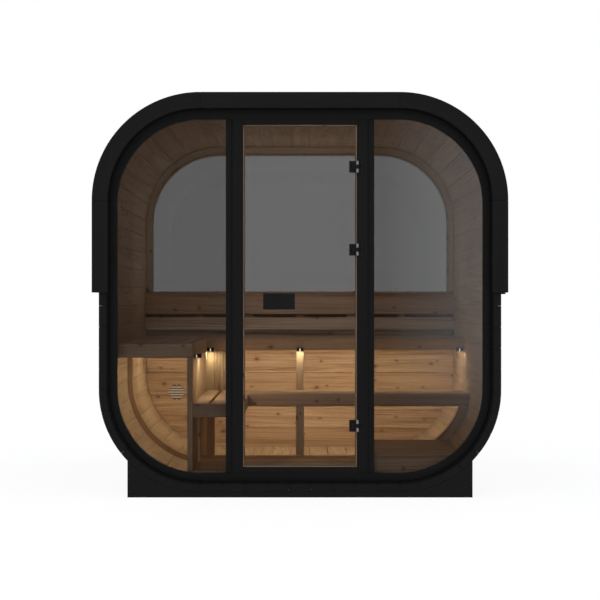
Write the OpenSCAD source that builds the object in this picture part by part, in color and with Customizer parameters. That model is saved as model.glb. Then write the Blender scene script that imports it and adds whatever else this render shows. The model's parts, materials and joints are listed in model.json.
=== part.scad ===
// Cube sauna: a barrel of staves with rounded corners, glazed at both ends,
// with a glass door, an L of two-tier benches and black cladding outside.
// Millimetres, +Z up, front towards -Y, origin on the ground under the middle.

/* [Barrel] */
// Outside width across the side staves
barrel_w = 2044; // [1980:1:2200]
// Outside height of the barrel, without the ground gap
barrel_h = 1994; // [1950:1:2150]
// Length of the staves, front to back
barrel_l = 2064; // [2000:1:2400]
// Outside radius of the rounded corners
corner_r = 516; // [490:1:530]
// Thickness of the staves
stave_t = 47; // [36:1:48]
// Clear height of the barrel above the ground
ground_gap = 30; // [28:1:60]

/* [Base] */
// Width of each cradle
cradle_w = 1753; // [1650:1:1780]
// Thickness of a cradle, front to back
cradle_t = 60; // [40:1:90]
// Width of a side rail between the cradles
rail_w = 45; // [35:1:60]
// Clear space between a side rail and the staves above it
rail_gap = 20; // [8:1:40]

/* [Roof] */
// Thickness of the roof cover
roof_t = 34; // [25:1:50]
// Height of the lower ends of the roof cover above the ground
eave_z = 1041; // [900:1:1200]
// Thickness of the fascia boards on the roof's ends
fascia_t = 18; // [12:1:28]

/* [End walls] */
// Thickness of the front and rear walls
wall_t = 42; // [38:1:60]
// Depth of the walls behind the ends of the staves
wall_inset = 42; // [30:1:70]
// Width of the black frame beside the glass
frame_w = 40; // [34:1:60]
// Width of the black frame over the glass
frame_top_w = 50; // [36:1:70]
// Width of the black frame under the glass
frame_low_w = 40; // [34:1:60]
// Thickness of the fixed glass
glass_t = 8; // [6:1:10]
// Depth of the fixed glass behind the wall's outer face
glass_inset = 17; // [12:1:22]
// Width of the rebate that holds the glass
rebate = 10; // [8:1:14]
// Width of the rear window's frame at its sides
rear_frame_w = 41; // [34:1:60]
// Width of the rear window's frame over its top
rear_frame_top_w = 54; // [36:1:70]
// Height of the rear window's lower edge above the ground
rear_sill_z = 1060; // [1045:1:1200]
// Height of the rail under the rear window
rear_rail_h = 52; // [40:1:60]

/* [Door] */
// Width of the opening between the door posts
door_w = 582; // [540:1:620]
// Height of the head over the door
head_h = 28; // [15:1:60]
// Height of the sill under the door
sill_h = 32; // [15:1:60]
// Width of a door post
post_w = 55; // [40:1:65]
// Width of the glazing strip beside a door post
strip_w = 33; // [25:1:45]
// Depth of the glazing strip behind the post's face
strip_inset = 8; // [4:1:12]
// Clearance round the door leaf
door_gap = 5; // [5:1:8]
// Thickness of the door's glass leaf
leaf_t = 8; // [6:1:10]
// Depth of the leaf behind the post's face
leaf_inset = 6; // [3:1:8]
// Width of the wooden stop that shows inside the door's edge
stop_w = 9.5; // [7:0.5:14]

/* [Hinges and handle] */
// Distance of the lowest hinge from the door's sill
hinge_rise = 212; // [100:1:400]
// Distances of the other two hinges from the door's head
hinge_drop = [639, 216]; // [100:1:900]
// Clearance between a hinge knuckle and the post beside and behind it
hinge_clear = 2; // [1.5:0.5:4]
// Width of a hinge plate on the glass
hinge_plate_w = 30; // [20:1:36]
// Height of a hinge plate on the glass
hinge_plate_h = 60; // [45:1:70]
// Thickness of a hinge plate
hinge_plate_t = 5; // [3:1:5]
// Radius of a hinge knuckle
knuckle_r = 6.5; // [5:0.5:7]
// Radius of a hinge pin
hinge_pin_r = 3; // [2:0.1:3.5]
// Running clearance between a pin and its knuckle
pin_clear = 0.1; // [0.05:0.05:0.2]
// Thickness of the hinge leaf on the post
hinge_leaf_t = 3; // [2:0.5:4]
// Width of the door handle
handle_w = 161; // [100:1:200]
// Height of the door handle
handle_h = 83; // [40:1:90]
// Thickness of the door handle
handle_t = 14; // [8:1:20]
// Clear space between the handle and the glass
handle_gap = 20; // [15:1:35]
// Distance of the handle's middle from the door's middle
handle_x = 107; // [90:1:150]
// Height of the handle's middle above the ground
handle_z = 996; // [900:1:1100]
// Radius of the handle's two fixing bolts
handle_bolt_r = 5; // [3:0.5:7]

/* [Benches] */
// Height of the upper bench above the ground
upper_z = 777; // [740:1:800]
// Height of the lower bench above the ground
lower_z = 470; // [440:1:500]
// Height of a bench skirt
skirt_h = 71; // [60:1:90]
// Thickness of bench boards and skirts
board_t = 28; // [20:1:35]
// Depth of the upper back bench, from the rear wall
upper_depth = 645; // [600:1:700]
// Depth of the lower back bench in front of the upper one
lower_depth = 398; // [340:1:450]
// Width of the upper left bench, from the side wall
upper_left_w = 422; // [380:1:450]
// Width of the lower left bench beside the upper one
lower_left_w = 260; // [220:1:300]
// Clear space between the left benches and the front wall
bench_front_gap = 23; // [10:1:60]
// Gap between bench slats
slat_gap = 14; // [8:1:20]
// Width of a bench post across its face
bench_post_w = 46; // [35:1:60]
// Depth of a bench post
bench_post_d = 40; // [30:1:50]
// Width of a bearer under the slats
bearer_w = 34; // [25:1:45]
// Width of the boarded corner beside the upper benches' inner corner
corner_riser_w = 160; // [120:1:180]
// Length of the opening low in the side riser
riser_open_l = 212; // [150:1:300]
// Distance of that opening from the lower back bench
riser_open_y = 188; // [100:1:300]

/* [Backrest] */
// Distance of the backrest's face from the rear wall
backrest_depth = 97; // [70:1:120]
// Height of the upper backrest slat's top above the ground
backrest_z = 1027; // [1000:1:1040]
// Height of the upper backrest slat
backrest_upper_h = 110; // [90:1:120]
// Height of the lower backrest slat
backrest_lower_h = 80; // [60:1:90]
// Gap between the backrest slats
backrest_gap = 20; // [12:1:25]
// Width of a backrest batten
batten_w = 45; // [35:1:60]
// Spacing of the backrest battens
batten_pitch = 318; // [280:1:360]

/* [Floor and platform] */
// Height of the duckboard's top above the ground
floor_z = 123; // [115:1:135]
// Thickness of the floor slats
floor_slat_t = 25; // [18:1:28]
// Width of the gap between floor slats
floor_gap = 12; // [8:1:20]
// Height of the heater platform's top above the ground
platform_z = 214; // [190:1:260]
// Distance of the platform's edge from the middle of the cabin
platform_x = 330; // [300:1:380]

/* [Ribs, lamps and vent] */
// Thickness of the left curved rib
rib_t = 28; // [20:1:35]
// Thickness of the right curved rib, which carries the end of the lower bench
right_rib_t = 48; // [28:1:60]
// Width of a curved rib, front to back
rib_w = 40; // [30:1:50]
// Radius of a lamp
lamp_r = 20; // [14:1:24]
// Height of a lamp
lamp_h = 20; // [18:1:32]
// Clear space between the outer lamps and the side walls
lamp_wall_gap = 10; // [5:1:40]
// Distance of the left lamp from the front ends of the staves
lamp_left_y = 225; // [200:1:450]
// Radius of the vent grille
vent_r = 51; // [40:1:60]
// Thickness of the vent grille
vent_t = 8; // [6:1:12]
// Distance of the vent's middle from the side wall
vent_wall_x = 191; // [150:1:260]
// Height of the vent above the ground
vent_z = 420; // [380:1:500]

/* [Fits] */
// Clearance where one curved or loose piece seats on another
fit = 0.3; // [0.2:0.1:0.5]

/* [Hidden] */
$fn = 96;
over = 1;
bottom_z = ground_gap;
top_z = bottom_z + barrel_h;
front_y = -barrel_l / 2;
rear_y = barrel_l / 2;
inner_r = corner_r - stave_t;
inner_x = barrel_w / 2 - stave_t;
inner_bottom = bottom_z + stave_t;
inner_top = top_z - stave_t;
corner_x = barrel_w / 2 - corner_r;
corner_low = bottom_z + corner_r;
corner_high = top_z - corner_r;

front_face = front_y + wall_inset;
front_back = front_face + wall_t;
rear_face = rear_y - wall_inset;
rear_inner = rear_face - wall_t;
open_x = inner_x - frame_w;
open_low = inner_bottom + frame_low_w;
open_high = inner_top - frame_top_w;
open_r = inner_r - frame_w;
rear_open_x = inner_x - rear_frame_w;
rear_open_high = inner_top - rear_frame_top_w;
rear_open_r = inner_r - rear_frame_w;
pane_y = front_face + glass_inset;
rear_pane_y = rear_face - glass_inset - glass_t;
rear_rail_low = rear_sill_z - rear_rail_h;

door_low = open_low + sill_h;
door_high = open_high - head_h;
hinge_z = [door_low + hinge_rise, door_high - hinge_drop[0], door_high - hinge_drop[1]];
post_x = door_w / 2;
strip_x = post_x + post_w;
pane_x = strip_x + strip_w;
leaf_y = front_face + leaf_inset;
leaf_x = post_x - door_gap;
stop_y = leaf_y + leaf_t + door_gap;

hinge_x = post_x + hinge_clear;
hinge_y = front_face - knuckle_r - hinge_clear;
knuckle_h = hinge_plate_h / 3 - fit * 2;

upper_y = rear_inner - upper_depth;
lower_y = upper_y - lower_depth;
upper_x = -inner_x + upper_left_w;
lower_x = upper_x + lower_left_w;
arm_y = front_back + bench_front_gap;
floor_y = front_back + floor_gap;
bearer_h = skirt_h - board_t;
row_x = upper_x - board_t;
backrest_y = rear_inner - backrest_depth;
backrest_low = backrest_z - backrest_upper_h - backrest_gap - backrest_lower_h;
rib_y = lower_y - rib_w;

rail_inner_x = cradle_w / 2 - rail_w;
rail_curve_x = max(0, rail_inner_x - corner_x);
rail_h = corner_low - sqrt(pow(corner_r, 2) - pow(rail_curve_x, 2)) - rail_gap;
lamp_side_x = inner_x - lamp_wall_gap - lamp_r;
vent_x = inner_x - vent_wall_x;

black = "#1b1c1d";
wood = "#b98d5e";
glass = [0.45, 0.4, 0.36, 0.45];

// Carries a flat outline, drawn as X and Z, from y0 to y1.
module along_y(y0, y1) {
    translate([0, y1, 0])
        rotate([90, 0, 0])
            linear_extrude(y1 - y0)
                children();
}

// Rectangle from x0 to x1 and z0 to z1 with all corners rounded to radius r.
module round_outline(x0, x1, z0, z1, r) {
    translate([x0 + r, z0])
        square([x1 - x0 - 2 * r, z1 - z0]);
    translate([x0, z0 + r])
        square([x1 - x0, z1 - z0 - 2 * r]);
    for (x = [x0 + r, x1 - r], z = [z0 + r, z1 - r])
        translate([x, z])
            circle(r);
}

// The barrel's outline, moved out by grow, or in where grow is negative.
module barrel_outline(grow = 0) {
    round_outline(-barrel_w / 2 - grow, barrel_w / 2 + grow, bottom_z - grow, top_z + grow, corner_r + grow);
}

// Everything inside the staves, less the fit.
module interior(y0, y1) {
    along_y(y0, y1)
        barrel_outline(-stave_t - fit);
}

// A box from one corner to the other.
module block(low, high) {
    translate(low)
        cube(high - low);
}

// One stave corner: side is -1 or 1 for left or right, level is -1 or 1 for low or high.
module corner_staves(side, level) {
    centre_z = level < 0 ? corner_low : corner_high;
    color(wood)
        along_y(front_y, rear_y)
            translate([side * corner_x, centre_z])
                quarter_ring(inner_r, corner_r, side, level);
}

// Quarter of a ring in the direction given by side and level.
module quarter_ring(r_in, r_out, side, level) {
    intersection() {
        difference() {
            circle(r_out);
            circle(r_in);
        }
        translate([side < 0 ? -r_out - over : 0, level < 0 ? -r_out - over : 0])
            square(r_out + over);
    }
}

// Board on edge, hollowed to the barrel's outline, half_w to each side of the middle.
module cradle(y, half_w) {
    difference() {
        block([-half_w, y, 0], [half_w, y + cradle_t, corner_low - corner_r / 2]);
        along_y(y - over, y + cradle_t + over)
            barrel_outline(fit);
    }
}

module cradles() {
    color(black) {
        cradle(front_y, cradle_w / 2);
        cradle(-cradle_t / 2, rail_inner_x);
        cradle(rear_y - cradle_t, cradle_w / 2);
    }
}

module base_rails() {
    color(black)
        for (x = [-cradle_w / 2, rail_inner_x])
            block([x, front_y + cradle_t, 0], [x + rail_w, rear_y - cradle_t, rail_h]);
}

module level_staves(z0) {
    color(wood)
        block([-corner_x, front_y, z0], [corner_x, rear_y, z0 + stave_t]);
}

module wall_staves(x0) {
    color(wood)
        block([x0, front_y, corner_low], [x0 + stave_t, rear_y, corner_high]);
}

module roof_sides() {
    color(black)
        for (x = [-barrel_w / 2 - roof_t, barrel_w / 2 + fit])
            block([x, front_y, eave_z], [x + roof_t - fit, rear_y, corner_high]);
}

module roof_curve(side) {
    color(black)
        along_y(front_y, rear_y)
            translate([side * corner_x, corner_high])
                quarter_ring(corner_r + fit, corner_r + roof_t, side, 1);
}

module roof_top() {
    color(black)
        block([-corner_x, front_y, top_z + fit], [corner_x, rear_y, top_z + roof_t]);
}

// Arch that covers the ends of the roof and of the upper staves.
module fascia(y) {
    color(black)
        along_y(y, y + fascia_t)
            intersection() {
                difference() {
                    barrel_outline(roof_t);
                    barrel_outline(-stave_t);
                }
                translate([-barrel_w, eave_z])
                    square([2 * barrel_w, top_z]);
            }
}

// Opening of an end wall, moved out by grow.
module opening_outline(grow = 0) {
    round_outline(-open_x - grow, open_x + grow, open_low - grow, open_high + grow, open_r + grow);
}

// Fixed pane beside the door, moved out by grow.
module side_pane_outline(side, grow = 0) {
    intersection() {
        opening_outline(rebate - fit + grow);
        translate([side < 0 ? -barrel_w : pane_x - rebate + fit - grow, 0])
            square([barrel_w - pane_x + rebate - fit + grow, top_z]);
    }
}

// Room that a side pane needs, from its front face to the wall's back.
module side_pane_room(side) {
    along_y(pane_y - fit, front_back + over)
        side_pane_outline(side, fit);
}

module front_frame() {
    color(black)
        difference() {
            interior(front_face, front_back);
            along_y(front_face - over, front_back + over)
                opening_outline();
            side_pane_room(-1);
            side_pane_room(1);
        }
}

module door_posts() {
    color(black)
        for (x = [-strip_x, post_x])
            block([x, front_face, open_low], [x + post_w, front_back, open_high]);
}

module glazing_strips() {
    color(black)
        difference() {
            for (x = [-pane_x, strip_x])
                block([x, front_face + strip_inset, open_low], [x + strip_w, front_back, open_high]);
            side_pane_room(-1);
            side_pane_room(1);
        }
}

module door_head() {
    color(black)
        block([-post_x, front_face, door_high], [post_x, front_back, open_high]);
}

module door_sill() {
    color(black)
        block([-post_x, front_face, open_low], [post_x, front_back, door_low]);
}

module door_stop() {
    color(wood)
        difference() {
            block([-post_x, stop_y, door_low], [post_x, front_back, door_high]);
            block([-post_x + stop_w, stop_y - over, door_low + stop_w],
                  [post_x - stop_w, front_back + over, door_high - stop_w]);
        }
}

module side_pane(side) {
    color(glass)
        along_y(pane_y, pane_y + glass_t)
            side_pane_outline(side);
}

// The rear window: round at the top and square at the sill, moved out by grow.
module rear_window_outline(grow = 0) {
    intersection() {
        round_outline(-rear_open_x - grow, rear_open_x + grow, open_low - grow, rear_open_high + grow,
                      rear_open_r + grow);
        translate([-barrel_w, rear_sill_z - grow])
            square([2 * barrel_w, top_z]);
    }
}

module rear_pane_room() {
    along_y(rear_inner - over, rear_pane_y + glass_t + fit)
        rear_window_outline(rebate);
}

module rear_frame() {
    color(black)
        difference() {
            interior(rear_inner, rear_face);
            along_y(rear_inner - over, rear_face + over)
                rear_window_outline();
            block([-barrel_w, rear_inner - over, 0], [barrel_w, rear_face + over, rear_sill_z]);
            rear_pane_room();
        }
}

module rear_window_rail() {
    color(black)
        difference() {
            intersection() {
                interior(rear_inner, rear_face);
                block([-barrel_w, rear_inner, rear_rail_low], [barrel_w, rear_face, rear_sill_z]);
            }
            rear_pane_room();
        }
}

module rear_pane() {
    color(glass)
        along_y(rear_pane_y, rear_pane_y + glass_t)
            rear_window_outline(rebate - fit);
}

module rear_wall_boards() {
    color(wood)
        intersection() {
            interior(rear_inner, rear_face);
            block([-barrel_w, rear_inner, 0], [barrel_w, rear_face, rear_rail_low]);
        }
}

module vent_grille() {
    slots = 6;
    pitch = 2 * vent_r / (slots + 1);
    color("#c9c4bb")
        translate([-vent_x, rear_inner, vent_z])
            rotate([90, 0, 0])
                difference() {
                    cylinder(h = vent_t, r = vent_r);
                    for (i = [1:slots])
                        translate([-vent_r * 0.6, -vent_r + i * pitch - pitch * 0.2, vent_t / 2])
                            cube([vent_r * 1.2, pitch * 0.4, vent_t]);
                }
}

// Slats that fill a width in equal boards, laid along X from x0 to x1.
module slats_along_x(x0, x1, y0, y1, z, count, thick, gap) {
    w = (y1 - y0 - (count - 1) * gap) / count;
    for (i = [0:count - 1])
        block([x0, y0 + i * (w + gap), z - thick], [x1, y0 + i * (w + gap) + w, z]);
}

// Slats that fill a width in equal boards, laid along Y from y0 to y1.
module slats_along_y(x0, x1, y0, y1, z, count, thick, gap) {
    w = (x1 - x0 - (count - 1) * gap) / count;
    for (i = [0:count - 1])
        block([x0 + i * (w + gap), y0, z - thick], [x0 + i * (w + gap) + w, y1, z]);
}

module upper_bench_slats() {
    color(wood) {
        slats_along_x(-inner_x + fit, inner_x - fit, upper_y + board_t + slat_gap, rear_inner - slat_gap,
                      upper_z, 7, board_t, slat_gap);
        slats_along_y(-inner_x + slat_gap, row_x - slat_gap, arm_y + board_t, upper_y,
                      upper_z, 5, board_t, slat_gap);
    }
}

// Boards on edge that close the bench in front, level with its slats.
module upper_bench_skirts() {
    low = upper_z - skirt_h;
    color(wood) {
        block([-inner_x + fit, upper_y, low], [inner_x - fit, upper_y + board_t, upper_z]);
        block([row_x, arm_y + board_t, low], [upper_x, upper_y, upper_z]);
        block([-inner_x + fit, arm_y, low], [upper_x, arm_y + board_t, upper_z]);
    }
}

// The left arm's last slat is narrower, by the skirt beside it.
module lower_bench_slats() {
    arm_x = lower_x - board_t - slat_gap;
    color(wood)
        intersection() {
            union() {
                slats_along_x(lower_x - board_t, inner_x, lower_y + board_t + slat_gap, upper_y - slat_gap,
                              lower_z, 4, board_t, slat_gap);
                difference() {
                    slats_along_y(upper_x, lower_x, arm_y + board_t, upper_y - slat_gap,
                                  lower_z, 3, board_t, slat_gap);
                    block([arm_x, arm_y, lower_z - board_t - over],
                          [lower_x + over, upper_y, lower_z + over]);
                }
            }
            interior(front_back, rear_inner);
        }
}

module lower_bench_skirts() {
    low = lower_z - skirt_h;
    color(wood)
        intersection() {
            union() {
                block([lower_x - board_t, lower_y, low], [inner_x, lower_y + board_t, lower_z]);
                block([lower_x - board_t, arm_y + board_t, low], [lower_x, lower_y, lower_z]);
                block([upper_x, arm_y, low], [lower_x, arm_y + board_t, lower_z]);
            }
            interior(front_back, rear_inner);
        }
}

// Bearers under the slats, from skirt to wall or from skirt to post row.
module bench_bearers() {
    upper_low = upper_z - skirt_h;
    lower_low = lower_z - skirt_h;
    wall_x = corner_x + sqrt(pow(inner_r, 2) - pow(corner_low - lower_low, 2)) - fit;
    color(wood) {
        for (x = [-inner_x + fit, row_x - bearer_w, -bearer_w / 2, inner_x - fit - bearer_w])
            block([x, upper_y + board_t, upper_low], [x + bearer_w, rear_inner, upper_low + bearer_h]);
        for (y = [arm_y + board_t, lower_y - rib_w, upper_y - bearer_w])
            block([-inner_x + fit, y, upper_low], [row_x, y + bearer_w, upper_low + bearer_h]);
        for (x = [lower_x, -bearer_w / 2, wall_x - bearer_w])
            block([x, lower_y + board_t, lower_low], [x + bearer_w, upper_y, lower_low + bearer_h]);
        for (y = [arm_y + board_t, lower_y - rib_w, upper_y - bearer_w])
            block([upper_x, y, lower_low], [lower_x - board_t, y + bearer_w, lower_low + bearer_h]);
    }
}

// Boards on end under the upper left bench's inner edge, open low down in one place.
module side_riser() {
    open_y = lower_y - riser_open_y;
    color(wood)
        difference() {
            intersection() {
                block([row_x, arm_y, 0], [upper_x, upper_y, upper_z - skirt_h]);
                interior(front_back, rear_inner);
            }
            block([row_x - over, open_y - riser_open_l, 0], [upper_x + over, open_y, lower_z - skirt_h]);
        }
}

// Boards on end beside the inner corner, between the two benches.
module corner_riser() {
    x0 = upper_x + bench_post_w;
    color(wood)
        block([x0, upper_y, lower_z - board_t], [x0 + corner_riser_w, upper_y + board_t, upper_z - skirt_h]);
}

module bench_posts() {
    upper_low = upper_z - skirt_h;
    lower_low = lower_z - skirt_h;
    color(wood)
        intersection() {
            union() {
                for (x = [-bench_post_w / 2, upper_x])
                    block([x, upper_y, 0], [x + bench_post_w, upper_y + bench_post_d, upper_low]);
                block([-bench_post_w / 2, lower_y, 0],
                      [bench_post_w / 2, lower_y + bench_post_d, lower_low]);
                block([lower_x - board_t - bench_post_d, arm_y, floor_z],
                      [lower_x - board_t, arm_y + bench_post_d, lower_low]);
            }
            interior(front_back, rear_inner);
        }
}

module backrest_slats() {
    lower_top = backrest_z - backrest_upper_h - backrest_gap;
    color(wood) {
        block([-inner_x + fit, backrest_y, backrest_z - backrest_upper_h],
              [inner_x - fit, backrest_y + board_t, backrest_z]);
        block([-inner_x + fit, backrest_y, backrest_low],
              [inner_x - fit, backrest_y + board_t, lower_top]);
    }
}

// Battens between the rear wall and the backrest's slats.
module backrest_battens() {
    color(wood)
        for (i = [-2:2])
            block([i * batten_pitch - batten_w / 2, backrest_y + board_t, backrest_low],
                  [i * batten_pitch + batten_w / 2, rear_inner, backrest_z]);
}

module floor_slats() {
    color(wood)
        slats_along_x(upper_x, platform_x, floor_y, lower_y, floor_z, 8, floor_slat_t, floor_gap);
}

module floor_bearers() {
    color(wood)
        for (x = [-corner_x, -bearer_w / 2, platform_x - bearer_w])
            block([x, floor_y, inner_bottom], [x + bearer_w, lower_y, floor_z - floor_slat_t]);
}

// Low deck on two supports, closed in front by a board down to the staves.
module heater_platform() {
    deck_low = platform_z - board_t;
    deck_y = floor_y + board_t;
    color(wood)
        intersection() {
            union() {
                block([platform_x, floor_y, 0], [inner_x, deck_y, platform_z]);
                block([platform_x, deck_y, deck_low], [inner_x, rib_y, platform_z]);
                for (x = [platform_x, corner_x])
                    block([x, deck_y, 0], [x + board_t, rib_y, deck_low]);
            }
            interior(front_back, rear_inner);
        }
}

// Curved rib against the staves, from x0 to x1 and up to z_top.
module rib(x0, x1, z_top, thick) {
    along_y(rib_y, lower_y)
        intersection() {
            difference() {
                barrel_outline(-stave_t - fit);
                barrel_outline(-stave_t - thick);
            }
            translate([x0, 0])
                square([x1 - x0, z_top]);
        }
}

module wall_ribs() {
    color(wood) {
        rib(-barrel_w, row_x, upper_z - skirt_h, rib_t);
        rib(corner_x, barrel_w, lower_z - skirt_h, right_rib_t);
    }
}

module lamp(x, y) {
    low = upper_z - skirt_h - lamp_h / 4;
    translate([x, y, low])
        cylinder(h = lamp_h, r = lamp_r);
}

module bench_lamps() {
    color("#d8d4c8") {
        lamp(-lamp_side_x, upper_y - bearer_w - lamp_r - fit);
        for (x = [upper_x + bench_post_w / 2, 0, lamp_side_x])
            lamp(x, upper_y - lamp_r - fit);
        lamp(upper_x + lamp_r + fit, front_y + lamp_left_y);
    }
}

// One hinge's part on the post: a leaf and the two outer knuckles on one pin.
module post_hinges() {
    color("#2a2b2c")
        for (z = hinge_z) {
            translate([hinge_x, hinge_y, z - hinge_plate_h / 2])
                cylinder(h = hinge_plate_h, r = hinge_pin_r);
            for (z0 = [z - hinge_plate_h / 2, z + hinge_plate_h / 2 - knuckle_h]) {
                translate([hinge_x, hinge_y, z0])
                    cylinder(h = knuckle_h, r = knuckle_r);
                block([hinge_x, front_face - hinge_leaf_t, z0],
                      [hinge_x + hinge_plate_w, front_face, z0 + knuckle_h]);
            }
        }
}

module door_glass() {
    color(glass)
        difference() {
            block([-leaf_x, leaf_y, door_low + door_gap], [leaf_x, leaf_y + leaf_t, door_high - door_gap]);
            for (x = [-handle_w / 3, handle_w / 3])
                translate([x - handle_x, leaf_y - over, handle_z])
                    rotate([-90, 0, 0])
                        cylinder(h = leaf_t + 2 * over, r = handle_bolt_r + fit);
        }
}

module door_handle() {
    color("#1d1e1e")
        translate([-handle_x, 0, handle_z]) {
            for (y = [leaf_y - handle_gap - handle_t, leaf_y + leaf_t])
                block([-handle_w / 2, y, -handle_h / 2], [handle_w / 2, y + handle_t, handle_h / 2]);
            for (x = [-handle_w / 3, handle_w / 3])
                translate([x, leaf_y - handle_gap, 0])
                    rotate([-90, 0, 0])
                        cylinder(h = handle_gap + leaf_t, r = handle_bolt_r);
        }
}

// One hinge's part on the glass: a plate, an arm and the middle knuckle.
module door_hinges() {
    color("#2a2b2c")
        for (z = hinge_z)
            difference() {
                union() {
                    block([leaf_x - door_gap - hinge_plate_w, leaf_y - hinge_plate_t, z - hinge_plate_h / 2],
                          [leaf_x - door_gap, leaf_y, z + hinge_plate_h / 2]);
                    translate([hinge_x, hinge_y, z - knuckle_h / 2])
                        cylinder(h = knuckle_h, r = knuckle_r);
                    block([leaf_x - door_gap - hinge_plate_w / 2, hinge_y - knuckle_r, z - knuckle_h / 2],
                          [leaf_x, leaf_y - hinge_plate_t, z + knuckle_h / 2]);
                    block([leaf_x - over, hinge_y - knuckle_r, z - knuckle_h / 2],
                          [hinge_x, hinge_y + knuckle_r, z + knuckle_h / 2]);
                }
                translate([hinge_x, hinge_y, z - hinge_plate_h])
                    cylinder(h = 2 * hinge_plate_h, r = hinge_pin_r + pin_clear);
            }
}

cradles();
base_rails();
level_staves(bottom_z);  // floor_staves
level_staves(inner_top);  // ceiling_staves
wall_staves(-barrel_w / 2);  // left_wall_staves
wall_staves(inner_x);  // right_wall_staves
corner_staves(-1, -1);  // lower_left_staves
corner_staves(1, -1);  // lower_right_staves
corner_staves(-1, 1);  // upper_left_staves
corner_staves(1, 1);  // upper_right_staves
roof_top();
roof_curve(-1);  // roof_left_curve
roof_curve(1);  // roof_right_curve
roof_sides();
fascia(front_y - fascia_t);  // front_fascia
fascia(rear_y);  // rear_fascia
front_frame();
door_posts();
glazing_strips();
door_head();
door_sill();
door_stop();
side_pane(-1);  // left_pane
side_pane(1);  // right_pane
rear_frame();
rear_window_rail();
rear_pane();
rear_wall_boards();
vent_grille();
floor_slats();
floor_bearers();
heater_platform();
upper_bench_slats();
upper_bench_skirts();
lower_bench_slats();
lower_bench_skirts();
bench_bearers();
bench_posts();
side_riser();
corner_riser();
backrest_slats();
backrest_battens();
wall_ribs();
bench_lamps();
post_hinges();
door_glass();
door_handle();
door_hinges();
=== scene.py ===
"""Cube sauna: its finished timber, glass, lamps and hardware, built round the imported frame.

Metres, +Z up, front towards -Y. Every size comes from the frame's own boxes or from the named
values below. A piece is a pile of closed shells, and each shell is a profile carried along a path
or an outline carried through a thickness. Each shell keeps the place of its points inside its own
board, so that grain, rings and knots follow the board and not the building.
"""

import json
import math

import bpy
import numpy as np
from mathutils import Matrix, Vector


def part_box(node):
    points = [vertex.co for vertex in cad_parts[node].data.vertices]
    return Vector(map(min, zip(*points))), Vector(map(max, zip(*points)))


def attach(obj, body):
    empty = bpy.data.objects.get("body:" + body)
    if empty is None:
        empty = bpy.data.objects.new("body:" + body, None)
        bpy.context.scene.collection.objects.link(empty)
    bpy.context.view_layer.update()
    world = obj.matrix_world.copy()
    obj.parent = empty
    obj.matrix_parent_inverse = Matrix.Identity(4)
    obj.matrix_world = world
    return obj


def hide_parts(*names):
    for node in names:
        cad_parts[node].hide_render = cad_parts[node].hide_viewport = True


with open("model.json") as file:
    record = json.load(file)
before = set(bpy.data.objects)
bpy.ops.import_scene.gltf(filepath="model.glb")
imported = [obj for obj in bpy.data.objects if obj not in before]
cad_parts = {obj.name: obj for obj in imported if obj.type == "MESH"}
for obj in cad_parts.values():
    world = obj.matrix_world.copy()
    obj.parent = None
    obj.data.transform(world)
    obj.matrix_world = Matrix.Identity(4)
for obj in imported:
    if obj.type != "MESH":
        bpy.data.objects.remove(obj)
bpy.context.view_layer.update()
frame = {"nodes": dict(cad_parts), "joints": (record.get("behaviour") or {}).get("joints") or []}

# Timber details
BOARD_W = 0.112        # width of a wall or roof board across its face
REAR_BOARD_W = 0.118   # height of a board of the rear wall
JOINT = 0.0003         # half the gap between two boards
OUTER_BEVEL = 0.0020   # bevel of a board's edges outside
ROOF_BEVEL = 0.0032    # bevel of a roof board's edges
INNER_BEVEL = 0.0024   # bevel of a board's edges inside
MOUTH_BEVEL = 0.009    # bevel round the inner edge of the barrel's bare ends
FRAME_BEVEL = 0.0016   # bevel of the edges of the two window frames
POST_BEVEL = 0.0014    # bevel of the edges of the door's posts and strips
END_EASE = 0.0012      # rounding of a stave's two ends
FIT = 0.0003           # gap left between a piece and what it is fitted against
ROOF_AIR = 0.0004      # gap between the roof's boards and the barrel
BARE_LAP = 0.003       # how far the staves' bare timber reaches into an end wall
LINING_W = 0.0095      # width of the lining that the glass door shuts against
TONGUE = 0.008         # length of a tongue
TONGUE_T = 0.010       # thickness of a tongue
EASE = 0.0022          # radius of a planed edge
SEAT_EASE = 0.0055     # radius of an edge that people sit on or lean against
UPRIGHT_EASE = 0.0026  # radius of an edge of a board that stands on end
PITH_MIN, PITH_MAX = 0.02, 0.16  # distance from a board's middle to the heart of its tree

# Seals and fittings
SEAL_W = 0.005         # width of a glazing seal
SEAL_T = 0.0022        # thickness of a glazing seal
SEAL_SHOWN = 0.0008    # how far a seal reaches over the daylight
SEAL_EASE = 0.0009     # radius of a seal's edges
SCREW_R = 0.0042       # radius of a screw's head
LAMP_SLOT = 9          # half the angle that a lamp's cup is open through, in degrees
SHAFT_R = 0.0004       # radius at which a turned piece is closed at its axis


# ---------------- the frame's own sizes

def side(node, axis, end):
    """One face of a node's box: axis is 0, 1 or 2, and end is 0 for the low face or 1 for the high one."""
    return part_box(node)[end][axis]


def solids_of(node):
    """Box of each separate solid in a CAD node, as (low, high) rows sorted by place.

    Corners at the same point share a label, each triangle passes its lowest label to its corners,
    and labels are followed until none changes. What shares a label is one solid.
    """
    mesh = frame["nodes"][node].data
    points = np.empty(len(mesh.vertices) * 3)
    mesh.vertices.foreach_get("co", points)
    points = points.reshape(-1, 3)
    corners = np.empty(len(mesh.loops), int)
    mesh.loops.foreach_get("vertex_index", corners)
    places, same = np.unique(points.round(6), axis=0, return_inverse=True)
    triangles = same.ravel()[corners].reshape(-1, 3)
    label = np.arange(len(places))
    while True:
        lowest = label[triangles].min(axis=1)
        found = label.copy()
        for corner in range(3):
            np.minimum.at(found, triangles[:, corner], lowest)
        found = found[found]
        if np.array_equal(found, label):
            break
        label = found
    parts = [places[label == one] for one in np.unique(label)]
    boxes = [(part.min(axis=0), part.max(axis=0)) for part in parts]
    return sorted(boxes, key=lambda box: tuple(box[0].round(4)))


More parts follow.
